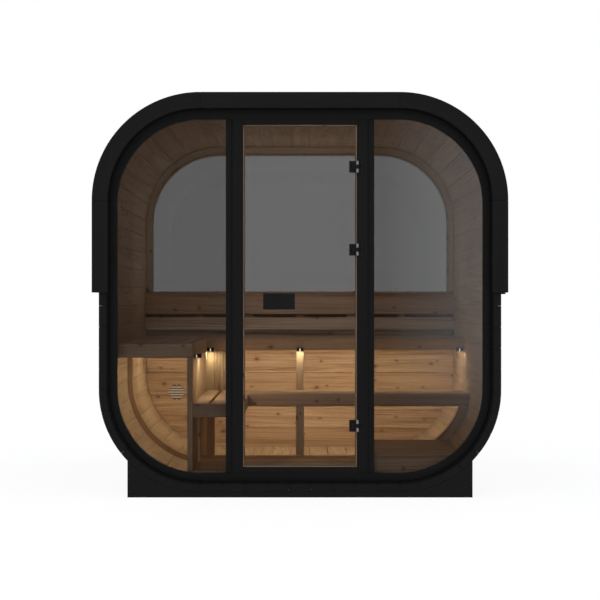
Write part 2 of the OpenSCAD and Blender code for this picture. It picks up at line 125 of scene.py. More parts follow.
WALL_X = side("right_wall_staves", 0, 1)
INNER_X = side("right_wall_staves", 0, 0)
STAVE_T = WALL_X - INNER_X
BARREL_LOW = side("floor_staves", 2, 0)
BARREL_HIGH = side("ceiling_staves", 2, 1)
CORNER_X = side("ceiling_staves", 0, 1)
CORNER_LOW = side("right_wall_staves", 2, 0)
CORNER_HIGH = side("right_wall_staves", 2, 1)
CORNER_R = WALL_X - CORNER_X
INNER_R = CORNER_R - STAVE_T
FRONT_Y = side("floor_staves", 1, 0)
REAR_Y = side("floor_staves", 1, 1)
ROOF_T = side("roof_top", 2, 1) - BARREL_HIGH
EAVE_Z = side("roof_sides", 2, 0)
FRONT_FACE = side("front_frame", 1, 0)
FRONT_BACK = side("front_frame", 1, 1)
REAR_INNER = side("rear_frame", 1, 0)
REAR_FACE = side("rear_frame", 1, 1)
OPEN_LOW = side("door_posts", 2, 0)
OPEN_HIGH = side("door_posts", 2, 1)
REBATE = OPEN_LOW - side("left_pane", 2, 0)
OPEN_X = side("right_pane", 0, 1) - REBATE
OPEN_R = OPEN_X - CORNER_X
PANE_X = side("glazing_strips", 0, 1)
PANE_FRONT = side("left_pane", 1, 0)
PANE_BACK = side("left_pane", 1, 1)
REAR_X = side("rear_pane", 0, 1) - REBATE
REAR_HIGH = side("rear_pane", 2, 1) - REBATE
REAR_R = REAR_X - CORNER_X
REAR_PANE_FRONT = side("rear_pane", 1, 0)
REAR_PANE_BACK = side("rear_pane", 1, 1) + FIT
SILL_Z = side("rear_window_rail", 2, 1)
LEAF_FRONT = side("door_glass", 1, 0)
LEAF_BACK = side("door_glass", 1, 1)
UPPER_Y = side("corner_riser", 1, 0)
UPPER_X = side("side_riser", 0, 1)
ROW_X = side("side_riser", 0, 0)
ARM_Y = side("upper_bench_skirts", 1, 0)
LOWER_Y = side("wall_ribs", 1, 1)
RIB_Y = side("wall_ribs", 1, 0)
BOARD_T = UPPER_X - ROW_X


# ---------------- outlines and profiles

def arc(centre, radius, start, end, steps):
    """Points on a circle from one angle to another, in degrees, both ends included."""
    angle = np.radians(np.linspace(start, end, steps + 1))
    return np.stack([centre[0] + radius * np.cos(angle), centre[1] + radius * np.sin(angle)], axis=1)


def rounded(width, height, radius, steps=2):
    """Rectangle round the origin whose corners are quarter circles, anticlockwise."""
    x, z = width / 2 - radius, height / 2 - radius
    corners = [((x, -z), -90), ((x, z), 0), ((-x, z), 90), ((-x, -z), 180)]
    return np.concatenate([arc(centre, radius, start, start + 90, steps) for centre, start in corners])


def distances(path):
    """How far along a path each of its points lies."""
    return np.concatenate([[0], np.cumsum(np.linalg.norm(np.diff(path, axis=0), axis=1))])


def inset(outline, depth):
    """A closed anticlockwise outline moved inwards by depth, along the mitre at each point."""
    ahead = np.roll(outline, -1, axis=0) - outline
    ahead /= np.linalg.norm(ahead, axis=1, keepdims=True)
    outward = np.stack([ahead[:, 1], -ahead[:, 0]], axis=1)
    before = np.roll(outward, 1, axis=0)
    share = 1 + np.sum(outward * before, axis=1, keepdims=True)
    return outline - depth * (outward + before) / np.maximum(share, 0.3)


def eased_ends(start, end, radius):
    """Stations from start to end, with how far the outline is drawn in at each to round both ends off."""
    step = radius * np.array([0.0, 0.3, 1.0])
    drawn_in = radius * np.array([0.75, 0.25, 0.0])
    stations = np.concatenate([start + step, end - step[::-1]])
    return stations, np.concatenate([drawn_in, drawn_in[::-1]])


def barrel_side(low, high, grow, steps):
    """Right half of the barrel's outline moved out by grow, from one height up to another."""
    radius = CORNER_R + grow

    def angle_at(z, centre_z):
        return math.degrees(math.asin(np.clip((z - centre_z) / radius, -1, 1)))

    if low < CORNER_LOW:
        turn = angle_at(low, CORNER_LOW), angle_at(min(high, CORNER_LOW), CORNER_LOW)
        runs = [arc((CORNER_X, CORNER_LOW), radius, *turn, steps)]
    else:
        runs = [[(CORNER_X + radius, low)]]
    if high > CORNER_HIGH:
        runs.append(arc((CORNER_X, CORNER_HIGH), radius, 0, angle_at(high, CORNER_HIGH), steps))
    elif high > CORNER_LOW:
        runs.append([(CORNER_X + radius, high)])
    return np.concatenate(runs)


def mirrored(points):
    """The same outline on the other side of the middle, in the order that keeps it anticlockwise."""
    return (points * [-1, 1])[::-1]


# ---------------- shells

class Pile:
    """Closed shells gathered into one mesh.

    Each point carries grain, its place inside its own board with the board's heart moved at random,
    and tone, one number for the whole board.
    """

    def __init__(self, name, seed):
        self.name = name
        self.random = np.random.default_rng(seed)
        self.points, self.grains, self.tones = [], [], []
        self.faces, self.skins = [], []
        self.count = 0

    def shell(self, rows, grain, skin=0, cap_skin=0, ring=False):
        """Adds rows of points (stations, profile points, 3), closed round the profile.

        The first and last rows are capped, or joined to each other for a ring. Faces are turned
        outwards by the sign of the volume that they enclose. Both skins may be one for each face.
        """
        stations, around = rows.shape[:2]
        number = np.arange(stations * around).reshape(stations, around)
        ahead = np.roll(number, -1, axis=1)
        if ring:
            quads = np.stack([number, ahead, np.roll(ahead, -1, 0), np.roll(number, -1, 0)], axis=-1)
        else:
            quads = np.stack([number[:-1], ahead[:-1], ahead[1:], number[1:]], axis=-1)
        caps = [] if ring else [number[0, ::-1], number[-1]]
        flat = rows.reshape(-1, 3)
        middle = flat.mean(axis=0)

        def volume(corners):
            a, b, c = (flat[corners[:, i]] - middle for i in range(3))
            return np.einsum("ij,ij->", a, np.cross(b, c))

        sides = quads.reshape(-1, 4)
        size = volume(sides[:, [0, 1, 2]]) + volume(sides[:, [0, 2, 3]])
        for cap in caps:
            fan = np.stack([np.full(around - 2, cap[0]), cap[1:-1], cap[2:]], axis=1)
            size += volume(fan)
        if size < 0:
            sides = sides[:, ::-1]
            caps = [cap[::-1] for cap in caps]
        side_skin = np.broadcast_to(skin, (len(quads), around)).reshape(-1)
        self.faces += (sides + self.count).tolist() + [(cap + self.count).tolist() for cap in caps]
        self.skins += side_skin.tolist() + np.broadcast_to(cap_skin, len(caps)).tolist()
        heart = self.random.uniform(PITH_MIN, PITH_MAX) * np.array([math.cos(self.count), 1.0])
        offset = np.array([heart[0], heart[1], self.random.uniform(0, 40)])
        lean = self.random.uniform(-0.025, 0.025, 2)
        local = grain.reshape(-1, 3)
        moved = local + offset
        moved[:, :2] += local[:, 2:] * lean
        self.points.append(flat)
        self.grains.append(moved)
        self.tones.append(np.full(len(flat), self.random.random()))
        self.count += len(flat)

    def board(self, low, high, radius=EASE, skin=0):
        """Straight board between two corners, its grain along its longest side and its edges rounded."""
        low, high = np.array(low, float), np.array(high, float)
        size = high - low
        long = int(np.argmax(size))
        flat, thick = [axis for axis in (0, 1, 2) if axis != long]
        radius = min(radius, size.min() * 0.4)
        profile = rounded(size[flat], size[thick], radius)
        stations, drawn_in = eased_ends(low[long], high[long], radius * 0.8)
        rows = np.empty((len(stations), len(profile), 3))
        for row, place, depth in zip(rows, stations, drawn_in):
            drawn = inset(profile, depth)
            row[:, flat] = drawn[:, 0] + (low[flat] + high[flat]) / 2
            row[:, thick] = drawn[:, 1] + (low[thick] + high[thick]) / 2
            row[:, long] = place
        wide, thin = (flat, thick) if size[flat] >= size[thick] else (thick, flat)
        centre = (low + high) / 2
        grain = (rows - centre)[..., [wide, thin, long]]
        self.shell(rows, grain, skin, skin)

    def slab(self, outline, y0, y1, radius=EASE, skin=0, back_skin=None, long=0):
        """Flat X and Z outline carried from y0 to y1, its ends rounded; long is the axis of its grain."""
        stations, drawn_in = eased_ends(y0, y1, radius)
        rows = np.empty((len(stations), len(outline), 3))
        for row, place, depth in zip(rows, stations, drawn_in):
            row[:, [0, 2]] = inset(outline, depth)
            row[:, 1] = place
        centre = rows.reshape(-1, 3).mean(axis=0)
        grain = (rows - centre)[..., [2 - long, 1, long]]
        skins = [skin, skin if back_skin is None else back_skin]
        half = len(stations) // 2
        self.shell(rows, grain, np.repeat(skins, [half, half - 1])[:, None], skins)

    def bent(self, path, outward, profile, axis_y=0.0, ring=False, ease=0.0, skin=0, cap_skin=0):
        """Profile carried along a path in the X and Z plane.

        The profile's first number goes along the outward direction of the path at each station,
        and its second along Y. With ease, the two ends are drawn in and rounded.
        """
        length = distances(path)
        depths = np.zeros(len(path))
        if ease:
            stations, end_depths = eased_ends(0, length[-1], ease)
            inner = (length > ease * 1.5) & (length < length[-1] - ease * 1.5)
            places = np.concatenate([stations[:3], length[inner], stations[3:]])
            depths = np.concatenate([end_depths[:3], np.zeros(inner.sum()), end_depths[3:]])
            path = np.stack([np.interp(places, length, path[:, i]) for i in (0, 1)], axis=1)
            outward = np.stack([np.interp(places, length, outward[:, i]) for i in (0, 1)], axis=1)
            length = places
        rows = np.empty((len(path), len(profile), 3))
        grain = np.empty_like(rows)
        for row, inside, point, out, place, depth in zip(rows, grain, path, outward, length, depths):
            drawn = inset(profile, depth) if depth else profile
            row[:, 0] = point[0] + out[0] * drawn[:, 0]
            row[:, 2] = point[1] + out[1] * drawn[:, 0]
            row[:, 1] = axis_y + drawn[:, 1]
            inside[:, :2] = drawn
            inside[:, 2] = place
        self.shell(rows, grain, skin, cap_skin, ring)

    def turned(self, profile, centre, axis=2, segments=32, skin=0):
        """Round piece: rows of (radius, height) carried once round a line through centre along an axis."""
        angle = np.linspace(0, 2 * math.pi, segments, endpoint=False)
        across = [i for i in (0, 1, 2) if i != axis]
        profile = np.array(profile, float)
        rows = np.empty((len(profile), segments, 3))
        rows[..., across[0]] = centre[across[0]] + profile[:, :1] * np.cos(angle)
        rows[..., across[1]] = centre[across[1]] + profile[:, :1] * np.sin(angle)
        rows[..., axis] = centre[axis] + profile[:, 1:]
        self.shell(rows, rows - np.array(centre), skin, skin)

    def between(self, inner, outer, profile, width, skin=0, ring=False):
        """Profile carried along two outlines that are matched point to point.

        Its first number is a share of the way from the inner outline to the outer one, which lie
        about width apart, and its second is a place along Y.
        """
        rows = np.empty((len(inner), len(profile), 3))
        rows[..., [0, 2]] = inner[:, None] + (outer - inner)[:, None] * profile[:, :1]
        rows[..., 1] = profile[:, 1]
        grain = np.empty_like(rows)
        grain[..., :2] = profile * [width, 1]
        grain[..., 2] = distances(inner)[:, None]
        self.shell(rows, grain, skin, ring=ring)

    def straight(self, profile, axis, start, end, skin=0):
        """Profile carried from start to end along axis 0 or 2, with plain ends."""
        rows = np.empty((2, len(profile), 3))
        rows[..., [i for i in (0, 1, 2) if i != axis]] = profile
        rows[..., axis] = [[start], [end]]
        self.shell(rows, (rows - rows.mean(axis=(0, 1)))[..., [2 - axis, 1, axis]], skin)

    def screw(self, x, y, z, proud):
        """Flat screw head that stands proud of a plate whose face is at y, towards the front."""
        head = [(SHAFT_R, -proud), (SCREW_R * 0.7, -proud), (SCREW_R, 0.0007 - proud), (SCREW_R, 0.001)]
        self.turned(head, (x, y, z), axis=1, segments=20)

    def piece(self, body, slot, finishes, *nodes, smooth=20):
        """Makes the mesh, gives it its finishes, sets it on its body and lets it stand for CAD nodes."""
        mesh = bpy.data.meshes.new(self.name)
        mesh.from_pydata(np.concatenate(self.points), [], self.faces)
        for name, kind, field, values in (
            ("grain", "FLOAT_VECTOR", "vector", self.grains),
            ("tone", "FLOAT", "value", self.tones),
        ):
            layer = mesh.attributes.new(name, kind, "POINT")
            layer.data.foreach_set(field, np.concatenate(values).astype(np.float32).ravel())
        for finish in finishes:
            mesh.materials.append(finish)
        mesh.polygons.foreach_set("material_index", np.array(self.skins, np.int32))
        mesh.polygons.foreach_set("use_smooth", np.ones(len(self.faces), bool))
        mesh.update()
        mesh.set_sharp_from_angle(angle=math.radians(smooth))
        piece = bpy.data.objects.new(self.name, mesh)
        bpy.context.scene.collection.objects.link(piece)
        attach(piece, body)
        if nodes:
            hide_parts(*nodes)
        return piece


# ---------------- finishes

def operator(operation, swapped=False):
    """Method that puts a value and another value or number through one Math node."""
    def method(self, other):
        return self.math(operation, other, self) if swapped else self.math(operation, self, other)
    return method


class Term:
    """A node's output used as a value in an expression; each operator adds one node."""

    def __init__(self, finish, socket):
        self.finish = finish
        self.socket = socket

    def math(self, operation, *values):
        return self.finish.add("ShaderNodeMath", {"operation": operation}, values)

    __add__ = __radd__ = operator("ADD")
    __mul__ = __rmul__ = operator("MULTIPLY")
    __sub__ = operator("SUBTRACT")
    __rsub__ = operator("SUBTRACT", swapped=True)
    __truediv__ = operator("DIVIDE")
    __pow__ = operator("POWER")
    __lt__ = operator("LESS_THAN")
    most = operator("MAXIMUM")
    least = operator("MINIMUM")

    def fraction(self):
        return self.math("FRACT", self)

    def fade(self, start, end):
        """0 at start and 1 at end, smoothly between them."""
        settings = {"interpolation_type": "SMOOTHSTEP"}
        values = {"Value": self, "From Min": start, "From Max": end}
        return self.finish.add("ShaderNodeMapRange", settings, values)

    def stretched(self, across, through, along):
        """A place with each of its three directions scaled."""
        settings = {"operation": "MULTIPLY"}
        return self.finish.add("ShaderNodeVectorMath", settings, [self, (across, through, along)])

    def split(self):
        """The three numbers of a place or a colour."""
        node = self.finish.add("ShaderNodeSeparateXYZ", {}, [self]).socket.node
        return [Term(self.finish, socket) for socket in node.outputs]


class Finish:
    """A material, or the world, and the nodes that make its colour, gloss and relief."""

    def __init__(self, owner):
        self.owner = owner
        owner.use_nodes = True
        self.nodes = owner.node_tree.nodes
        self.links = owner.node_tree.links
        self.nodes.clear()

    def add(self, kind, settings, values, output=0):
        """Adds a node: its settings first, then the values or links of its sockets by number or name."""
        node = self.nodes.new(kind)
        for name, setting in settings.items():
            setattr(node, name, setting)
        pairs = values.items() if isinstance(values, dict) else enumerate(values)
        for name, value in pairs:
            if isinstance(value, Term):
                self.links.new(value.socket, node.inputs[name])
            else:
                node.inputs[name].default_value = value
        return Term(self, node.outputs[output])

    def place(self):
        """The place of a point inside its own board."""
        return self.add("ShaderNodeAttribute", {"attribute_name": "grain"}, [], "Vector")

    def spot(self):
        """The place of a point on the whole sauna."""
        return self.add("ShaderNodeTexCoord", {}, [], "Object")

    def tone(self):
        """The number that a whole board shares, from 0 to 1."""
        return self.add("ShaderNodeAttribute", {"attribute_name": "tone"}, [], "Fac")

    def noise(self, place, scale, detail=2.0, roughness=0.5):
        values = {"Vector": place, "Scale": scale, "Detail": detail, "Roughness": roughness}
        return self.add("ShaderNodeTexNoise", {}, values)

    def mix(self, share, first, second):
        """Colour between first, at share 0, and second, at share 1."""
        return self.add("ShaderNodeMix", {"data_type": "RGBA"}, {0: share, 6: first, 7: second}, 2)

    def relief(self, height, depth, strength=1.0):
        values = {"Strength": strength, "Distance": depth, "Height": height}
        return self.add("ShaderNodeBump", {}, values)

    def end(self, shader, kind="ShaderNodeOutputMaterial"):
        """Ends the finish with a shader, and gives back the material."""
        output = self.nodes.new(kind)
        self.links.new(shader.socket, output.inputs["Surface"])
        return self.owner

    def coat(self, colour, roughness, **more):
        """Ends the finish with an opaque surface of this colour and roughness."""
        sockets = {name.replace("_", " "): value for name, value in more.items()}
        values = {"Base Color": colour, "Roughness": roughness, **sockets}
        return self.end(self.add("ShaderNodeBsdfPrincipled", {}, values))


def material(name):
    return Finish(bpy.data.materials.new(name))


KNOT_PITCH = 0.12      # spacing of the cells in which knots may lie
RING_PITCH = 0.0052    # spacing of the growth rings


class Growth:
    """Rings, fibres, streaks and knots of sawn spruce, each a value from 0 to 1.

    Rings are circles round the board's heart, which wander slowly along the board and swell round a
    knot. A knot goes through the board at the middle of a cell of its face; a share of the cells has
    one. Bands and lines are the broad and the narrow streaks along the board.
    """

    def __init__(self, finish, knot_share):
        place = finish.place()
        x, y, along = place.split()
        face = finish.add("ShaderNodeCombineXYZ", {}, [x, along * 0.75])
        settings = {"voronoi_dimensions": "2D"}
        cell = finish.add("ShaderNodeTexVoronoi", settings, {"Vector": face, "Scale": 1 / KNOT_PITCH})
        drawn, sized, _ = Term(finish, cell.socket.node.outputs["Color"]).split()
        wander = finish.noise(place.stretched(7, 7, 0.9), 1.0, 3.0)
        frayed = finish.noise(place.stretched(160, 160, 110), 1.0, 2.0)
        reach = cell * KNOT_PITCH + (frayed - 0.5) * 0.003
        closeness = reach / (sized * sized * 0.007 + 0.0048)
        has_knot = drawn < knot_share
        self.knot = (1 - closeness.fade(0.7, 1.25)) * has_knot
        self.halo = (1 - closeness.fade(0.8, 3.6)) * has_knot
        self.knot_rings = (closeness * 3.1 + wander).fraction()
        heart = (x * x + y * y) ** 0.5
        phase = (heart + wander * 0.03 + self.halo * 0.004) / RING_PITCH
        self.rings = phase.fraction() ** 2.2
        self.fibres = finish.noise(place.stretched(420, 420, 9), 1.0, 3.0, 0.6)
        self.bands = finish.noise(place.stretched(24, 24, 0.55), 1.0, 2.0, 0.55).fade(0.36, 0.66)
        self.lines = finish.noise(place.stretched(120, 120, 0.9), 1.0, 3.0, 0.6).fade(0.42, 0.68)


def shaded(colour, share):
    """A colour made darker or lighter by a factor."""
    return tuple(share * part for part in colour[:3]) + (1,)


def bare_timber(name, pale, late, knot_colour, knot_share=0.55, gloss=0.56, shine=0.32):
    """Planed spruce without paint: pale early wood, darker late wood, and brown knots."""
    finish = material(name)
    wood = Growth(finish, knot_share)
    body = finish.mix((wood.rings * 0.25 + wood.bands * 0.42 + wood.lines * 0.62).least(1.0), pale, late)
    body = finish.mix(wood.fibres.fade(0.45, 0.8) * 0.22, body, shaded(late, 0.72))
    body = finish.mix(finish.tone() * 0.55, body, shaded(late, 1.1))
    body = finish.mix(wood.halo * 0.35, body, shaded(late, 0.75))
    body = finish.mix(wood.knot * (0.75 + wood.knot_rings * 0.2), body, knot_colour)
    rough = gloss + wood.fibres * 0.12 - wood.knot * 0.12 - wood.rings * 0.05
    height = finish.relief(wood.rings * 0.35 + wood.fibres * 0.5 - wood.knot * 0.4, 0.0005, 0.55)
    return finish.coat(body, rough, Normal=height, Specular_IOR_Level=shine)


def black_timber(name, colour, spread, relief, roughness):
    """Opaque black stain on sawn timber: grain and knots show as relief and as a faint change of depth."""
    finish = material(name)
    wood = Growth(finish, 0.25)
    depth = wood.rings * 0.25 + wood.fibres * 0.35 + wood.bands * 0.2 + wood.lines * 0.2 - wood.knot * 0.3
    depth = depth + finish.tone() * 0.2 - 0.1
    body = finish.mix(depth, shaded(colour, 1 - spread), shaded(colour, 1 + spread))
    rough = roughness + wood.fibres * 0.14 - wood.rings * 0.05
    height = finish.relief(wood.rings * 0.4 + wood.fibres * 0.6 - wood.halo * 0.25, relief, 0.6)
    return finish.coat(body, rough, Normal=height, Specular_IOR_Level=0.12)


def seen_rays(finish):
    """1 for what the camera sees, straight, mirrored or through glass, and 0 for what lights the object."""
    rays = finish.add("ShaderNodeLightPath", {}, [])
    names = ("Is Camera Ray", "Is Glossy Ray", "Is Transmission Ray")
    camera, glossy, through = (Term(finish, rays.socket.node.outputs[name]) for name in names)
    return camera.most(glossy).most(through)


MIRRORED = 0.034       # share that a face of glass mirrors straight ahead


def tinted_glass(name, passes, daylight=1.0):
    """Grey sun glass: each of its two faces passes the root of what the sheet passes, and mirrors a little.

    A face mirrors MIRRORED + (1 - MIRRORED) f ** 5, where f is 1 less the cosine of the angle at which
    it is seen. Of the rays that light the cabin, a face passes the share daylight.
    """
    finish = material(name)
    seen = math.sqrt(passes)
    sight = finish.add("ShaderNodeBsdfTransparent", {}, {"Color": (seen, seen, seen, 1)})
    light = finish.add("ShaderNodeBsdfTransparent", {}, {"Color": (daylight, daylight, daylight, 1)})
    through = finish.add("ShaderNodeMixShader", {}, [seen_rays(finish), light, sight])
    mirror = finish.add("ShaderNodeBsdfGlossy", {}, {"Color": (0.9, 0.9, 0.9, 1), "Roughness": 0.02})
    slant = finish.add("ShaderNodeLayerWeight", {}, {"Blend": 0.5}, "Facing")
    bounce = slant ** 5 * (1 - MIRRORED) + MIRRORED
    return finish.end(finish.add("ShaderNodeMixShader", {}, [bounce, through, mirror]))


def coated_metal(name, colour, roughness):
    """Powder-coated metal: a fine orange-peel texture under an even coat."""
    finish = material(name)
    place = finish.spot()
    peel = finish.noise(place, 900.0, 2.0)
    patches = finish.noise(place, 35.0, 2.0)
    body = finish.mix(patches * 0.5, colour, shaded(colour, 1.35))
    rough, height = roughness + patches * 0.1, finish.relief(peel, 0.00004)
    return finish.coat(body, rough, Normal=height, Specular_IOR_Level=0.2)


def brushed_steel(name):
    """Stainless steel turned on a lathe: fine rings along Z, with small changes of polish."""
    finish = material(name)
    place = finish.spot()
    lines = finish.noise(place.stretched(60, 60, 2600), 1.0, 2.0)
    patches = finish.noise(place, 60.0)
    body = finish.mix(patches, (0.24, 0.24, 0.245, 1), (0.30, 0.30, 0.30, 1))
    rough, height = 0.26 + lines * 0.16, finish.relief(lines, 0.00003)
    return finish.coat(body, rough, Metallic=1.0, Normal=height)


def seal_rubber(name):
    """Matt black rubber with a faint bloom."""
    finish = material(name)
    place = finish.spot()
    bloom = finish.noise(place, 90.0, 3.0)
    body = finish.mix(bloom, (0.006, 0.006, 0.0065, 1), (0.014, 0.014, 0.015, 1))
    return finish.coat(body, 0.7 + bloom * 0.15, Specular_IOR_Level=0.2)


def moulded_plastic(name, colour):
    """Moulded plastic with a fine texture: pale for the vent's bars, and dark brown for the painted shade of
    the vent's dish.
    """
    finish = material(name)
    place = finish.spot()
    mottle = finish.noise(place, 140.0, 2.0)
    body = finish.mix(mottle, colour, shaded(colour, 0.88))
    rough, height = 0.42 + mottle * 0.1, finish.relief(mottle, 0.0001)
    return finish.coat(body, rough, Normal=height)


def lamp_glow(name, colour, strength):
    """Frosted lens of a lit lamp, a little brighter at its middle."""
    finish = material(name)
    facing = finish.add("ShaderNodeLayerWeight", {}, {"Blend": 0.4}, "Facing")
    glow = finish.mix(facing, colour, shaded(colour, 0.55))
    return finish.coat((0.8, 0.76, 0.66, 1), 0.5, Emission_Color=glow, Emission_Strength=strength)


KNOT_BROWN = (0.17, 0.074, 0.032, 1)
INSIDE_TIMBER = bare_timber(
    "inside_spruce", (0.65, 0.46, 0.30, 1), (0.32, 0.178, 0.092, 1), KNOT_BROWN, knot_share=0.7
)
ARCH_TIMBER = bare_timber(
    "arch_spruce", (0.66, 0.55, 0.43, 1), (0.48, 0.38, 0.28, 1), KNOT_BROWN,
    knot_share=0.3, gloss=0.5, shine=0.6,
)
STAVE_TIMBER = bare_timber(
    "stave_spruce", (0.60, 0.44, 0.285, 1), (0.38, 0.25, 0.145, 1), KNOT_BROWN, knot_share=0.95
)
BENCH_TIMBER = bare_timber(
    "bench_spruce", (0.57, 0.39, 0.255, 1), (0.34, 0.20, 0.110, 1), (0.15, 0.066, 0.030, 1),
    knot_share=0.5, gloss=0.38, shine=0.6,
)
CLADDING = black_timber("black_cladding", (0.0045, 0.0045, 0.0047), 0.3, 0.0006, 0.62)
# Planed black joinery, a little darker than the cladding: the extra darkness is painted shade for the frames
# and posts set back behind the staves' ends.
JOINERY = black_timber("black_joinery", (0.0034, 0.0035, 0.0037), 0.22, 0.0003, 0.55)
# Black paint on the inner faces in the barrel's two mouths, made far darker than the cladding as painted
# shade in those recesses.
MOUTH_PAINTED_SHADE = black_timber("black_mouth", (0.0012, 0.0012, 0.0013), 0.22, 0.0003, 0.75)
HARDWARE = coated_metal("black_hardware", (0.0012, 0.0013, 0.0013, 1), 0.5)
STEEL = brushed_steel("hinge_steel")
RUBBER = seal_rubber("glazing_rubber")
VENT_PLASTIC = moulded_plastic("vent_plastic", (0.70, 0.70, 0.70, 1))
# Dark brown for the vent's dish behind the bars: painted shade between the bars, not the plastic's own
# colour.
VENT_PAINTED_SHADE = moulded_plastic("vent_shade", (0.17, 0.10, 0.060, 1))
LAMP_SHELL = coated_metal("lamp_shell", (0.012, 0.009, 0.007, 1), 0.4)
LAMP_LENS = lamp_glow("lamp_lens", (1.0, 0.90, 0.66, 1), 2.2)
SIDE_GLASS = tinted_glass("side_glass", 0.335, 0.64)
DOOR_GLASS = tinted_glass("door_glass_tint", 0.44, 0.64)
REAR_GLASS = tinted_glass("rear_glass", 0.343, 0.7)


# ---------------- barrel and roof

def stave_profile(width, thickness, outer_bevel):
    """Board with a tongue on one edge and a groove in the other.

    The first number runs across the face and the second out of it, 0 at the outer face, anticlockwise.
    """
    face = np.linspace(outer_bevel, width - outer_bevel, 5)
    back = np.linspace(width - INNER_BEVEL, INNER_BEVEL, 5)
    half, mid, play = TONGUE_T / 2, -thickness / 2, 0.0004
    right = width - JOINT
    edge = [
        (right, -thickness + INNER_BEVEL), (right, mid - half), (right + TONGUE, mid - half),
        (right + TONGUE, mid + half), (right, mid + half), (right, -outer_bevel),
    ]
    groove = [
        (JOINT, -outer_bevel), (JOINT, mid + half + play), (JOINT + TONGUE, mid + half + play),
        (JOINT + TONGUE, mid - half - play), (JOINT, mid - half - play), (JOINT, -thickness + INNER_BEVEL),
    ]
    return np.array(
        [(u, -thickness) for u in back[::-1]] + edge + [(u, 0.0) for u in face[::-1]] + groove
    )


def stave_run(name, seed, nodes, bend, length, grow, thickness, finishes, bevel=OUTER_BEVEL):
    """Boards side by side, front to back, over a flat or a rounded part of the barrel.

    bend turns a distance along the run and a distance out of the face into X and Z. Of three
    finishes, the first is for the outside, the second is black paint darkened further as painted
    shade for the inner faces in the barrel's two mouths, and the third is for the cabin. A board
    whose ends show under the roof has the inner edge of its ends bevelled.
    """
    pile = Pile(name, seed)
    count = round(length / BOARD_W)
    width = length / count
    profile = stave_profile(width, thickness, bevel)
    heights = (profile[:, 1] + np.roll(profile[:, 1], -1)) / 2
    inner_face = profile[:, 1] <= -thickness + INNER_BEVEL
    stations, drawn_in = eased_ends(FRONT_Y, REAR_Y, END_EASE)
    in_walls = [FRONT_BACK - BARE_LAP, REAR_INNER + BARE_LAP]
    stations = np.insert(stations, 3, [FRONT_Y + MOUTH_BEVEL, *in_walls, REAR_Y - MOUTH_BEVEL])
    drawn_in = np.insert(drawn_in, 3, np.zeros(4))
    mouth_depth = np.maximum(FRONT_Y + MOUTH_BEVEL - stations, stations - REAR_Y + MOUTH_BEVEL).clip(0)
    indoors = (stations[:-1] >= in_walls[0]) & (stations[1:] <= in_walls[1])
    # Inner faces outside the end walls take the second finish, the painted shade of the mouths; those indoors
    # take the last.
    inner = np.where(indoors, len(finishes) - 1, min(1, len(finishes) - 1))
    skin = np.where(heights < -thickness * 0.8, inner[:, None], 0)
    for i in range(count):
        rows = np.empty((len(stations), len(profile), 3))
        grain = np.empty_like(rows)
        middle = bend(np.array([(i + 0.5) * width]), np.array([0.0]))[0]
        bare_end = len(finishes) > 1 and middle[1] < EAVE_Z
        for row, inside, y, depth, mouth in zip(rows, grain, stations, drawn_in, mouth_depth):
            drawn = inset(profile, depth)
            if bare_end:
                drawn[inner_face, 1] += mouth
            row[:, [0, 2]] = bend(drawn[:, 0] + i * width, drawn[:, 1] + grow)
            row[:, 1] = y
            inside[:, 0] = drawn[:, 0] - width / 2
            inside[:, 1] = drawn[:, 1]
            inside[:, 2] = y
        pile.shell(rows, grain, skin)
    pile.piece("cabin", "black" if len(finishes) == 1 else "stave", finishes, *nodes, smooth=12)


def flat_bend(start, along, outward):
    """Bend for a flat run: a straight line from start along one direction."""
    start, along, outward = (np.array(part, float) for part in (start, along, outward))
    return lambda across, out: start + np.outer(across, along) + np.outer(out, outward)


def round_bend(centre, start_angle):
    """Bend for a rounded corner: clockwise round its centre, with distances along the barrel's face."""
    def bend(across, out):
        angle = math.radians(start_angle) - across / CORNER_R
        radius = CORNER_R + out
        return np.stack([centre[0] + radius * np.cos(angle), centre[1] + radius * np.sin(angle)], axis=1)
    return bend


def barrel():
    """The eight runs of staves: four round corners, then four flats, each laid clockwise."""
    quarter = CORNER_R * math.pi / 2
    wall, flat = CORNER_HIGH - CORNER_LOW, 2 * CORNER_X
    corners = {
        "lower_left_staves": round_bend((-CORNER_X, CORNER_LOW), 270),
        "upper_left_staves": round_bend((-CORNER_X, CORNER_HIGH), 180),
        "upper_right_staves": round_bend((CORNER_X, CORNER_HIGH), 90),
        "lower_right_staves": round_bend((CORNER_X, CORNER_LOW), 0),
    }
    flats = {
        "left_wall_staves": (flat_bend((-WALL_X, CORNER_LOW), (0, 1), (-1, 0)), wall),
        "ceiling_staves": (flat_bend((-CORNER_X, BARREL_HIGH), (1, 0), (0, 1)), flat),
        "right_wall_staves": (flat_bend((WALL_X, CORNER_HIGH), (0, -1), (1, 0)), wall),
        "floor_staves": (flat_bend((CORNER_X, BARREL_LOW), (-1, 0), (0, -1)), flat),
    }
    runs = [(seed, node, bend, quarter) for seed, (node, bend) in enumerate(corners.items())]
    runs += [(seed, node, *run) for seed, (node, run) in enumerate(flats.items(), 10)]
    # Cladding outside, black with painted shade in the mouths, and bare staves in the cabin.
    skins = [CLADDING, MOUTH_PAINTED_SHADE, STAVE_TIMBER]
    for seed, node, bend, length in runs:
        stave_run("barrel_" + node, seed, [node], bend, length, 0, STAVE_T, skins)


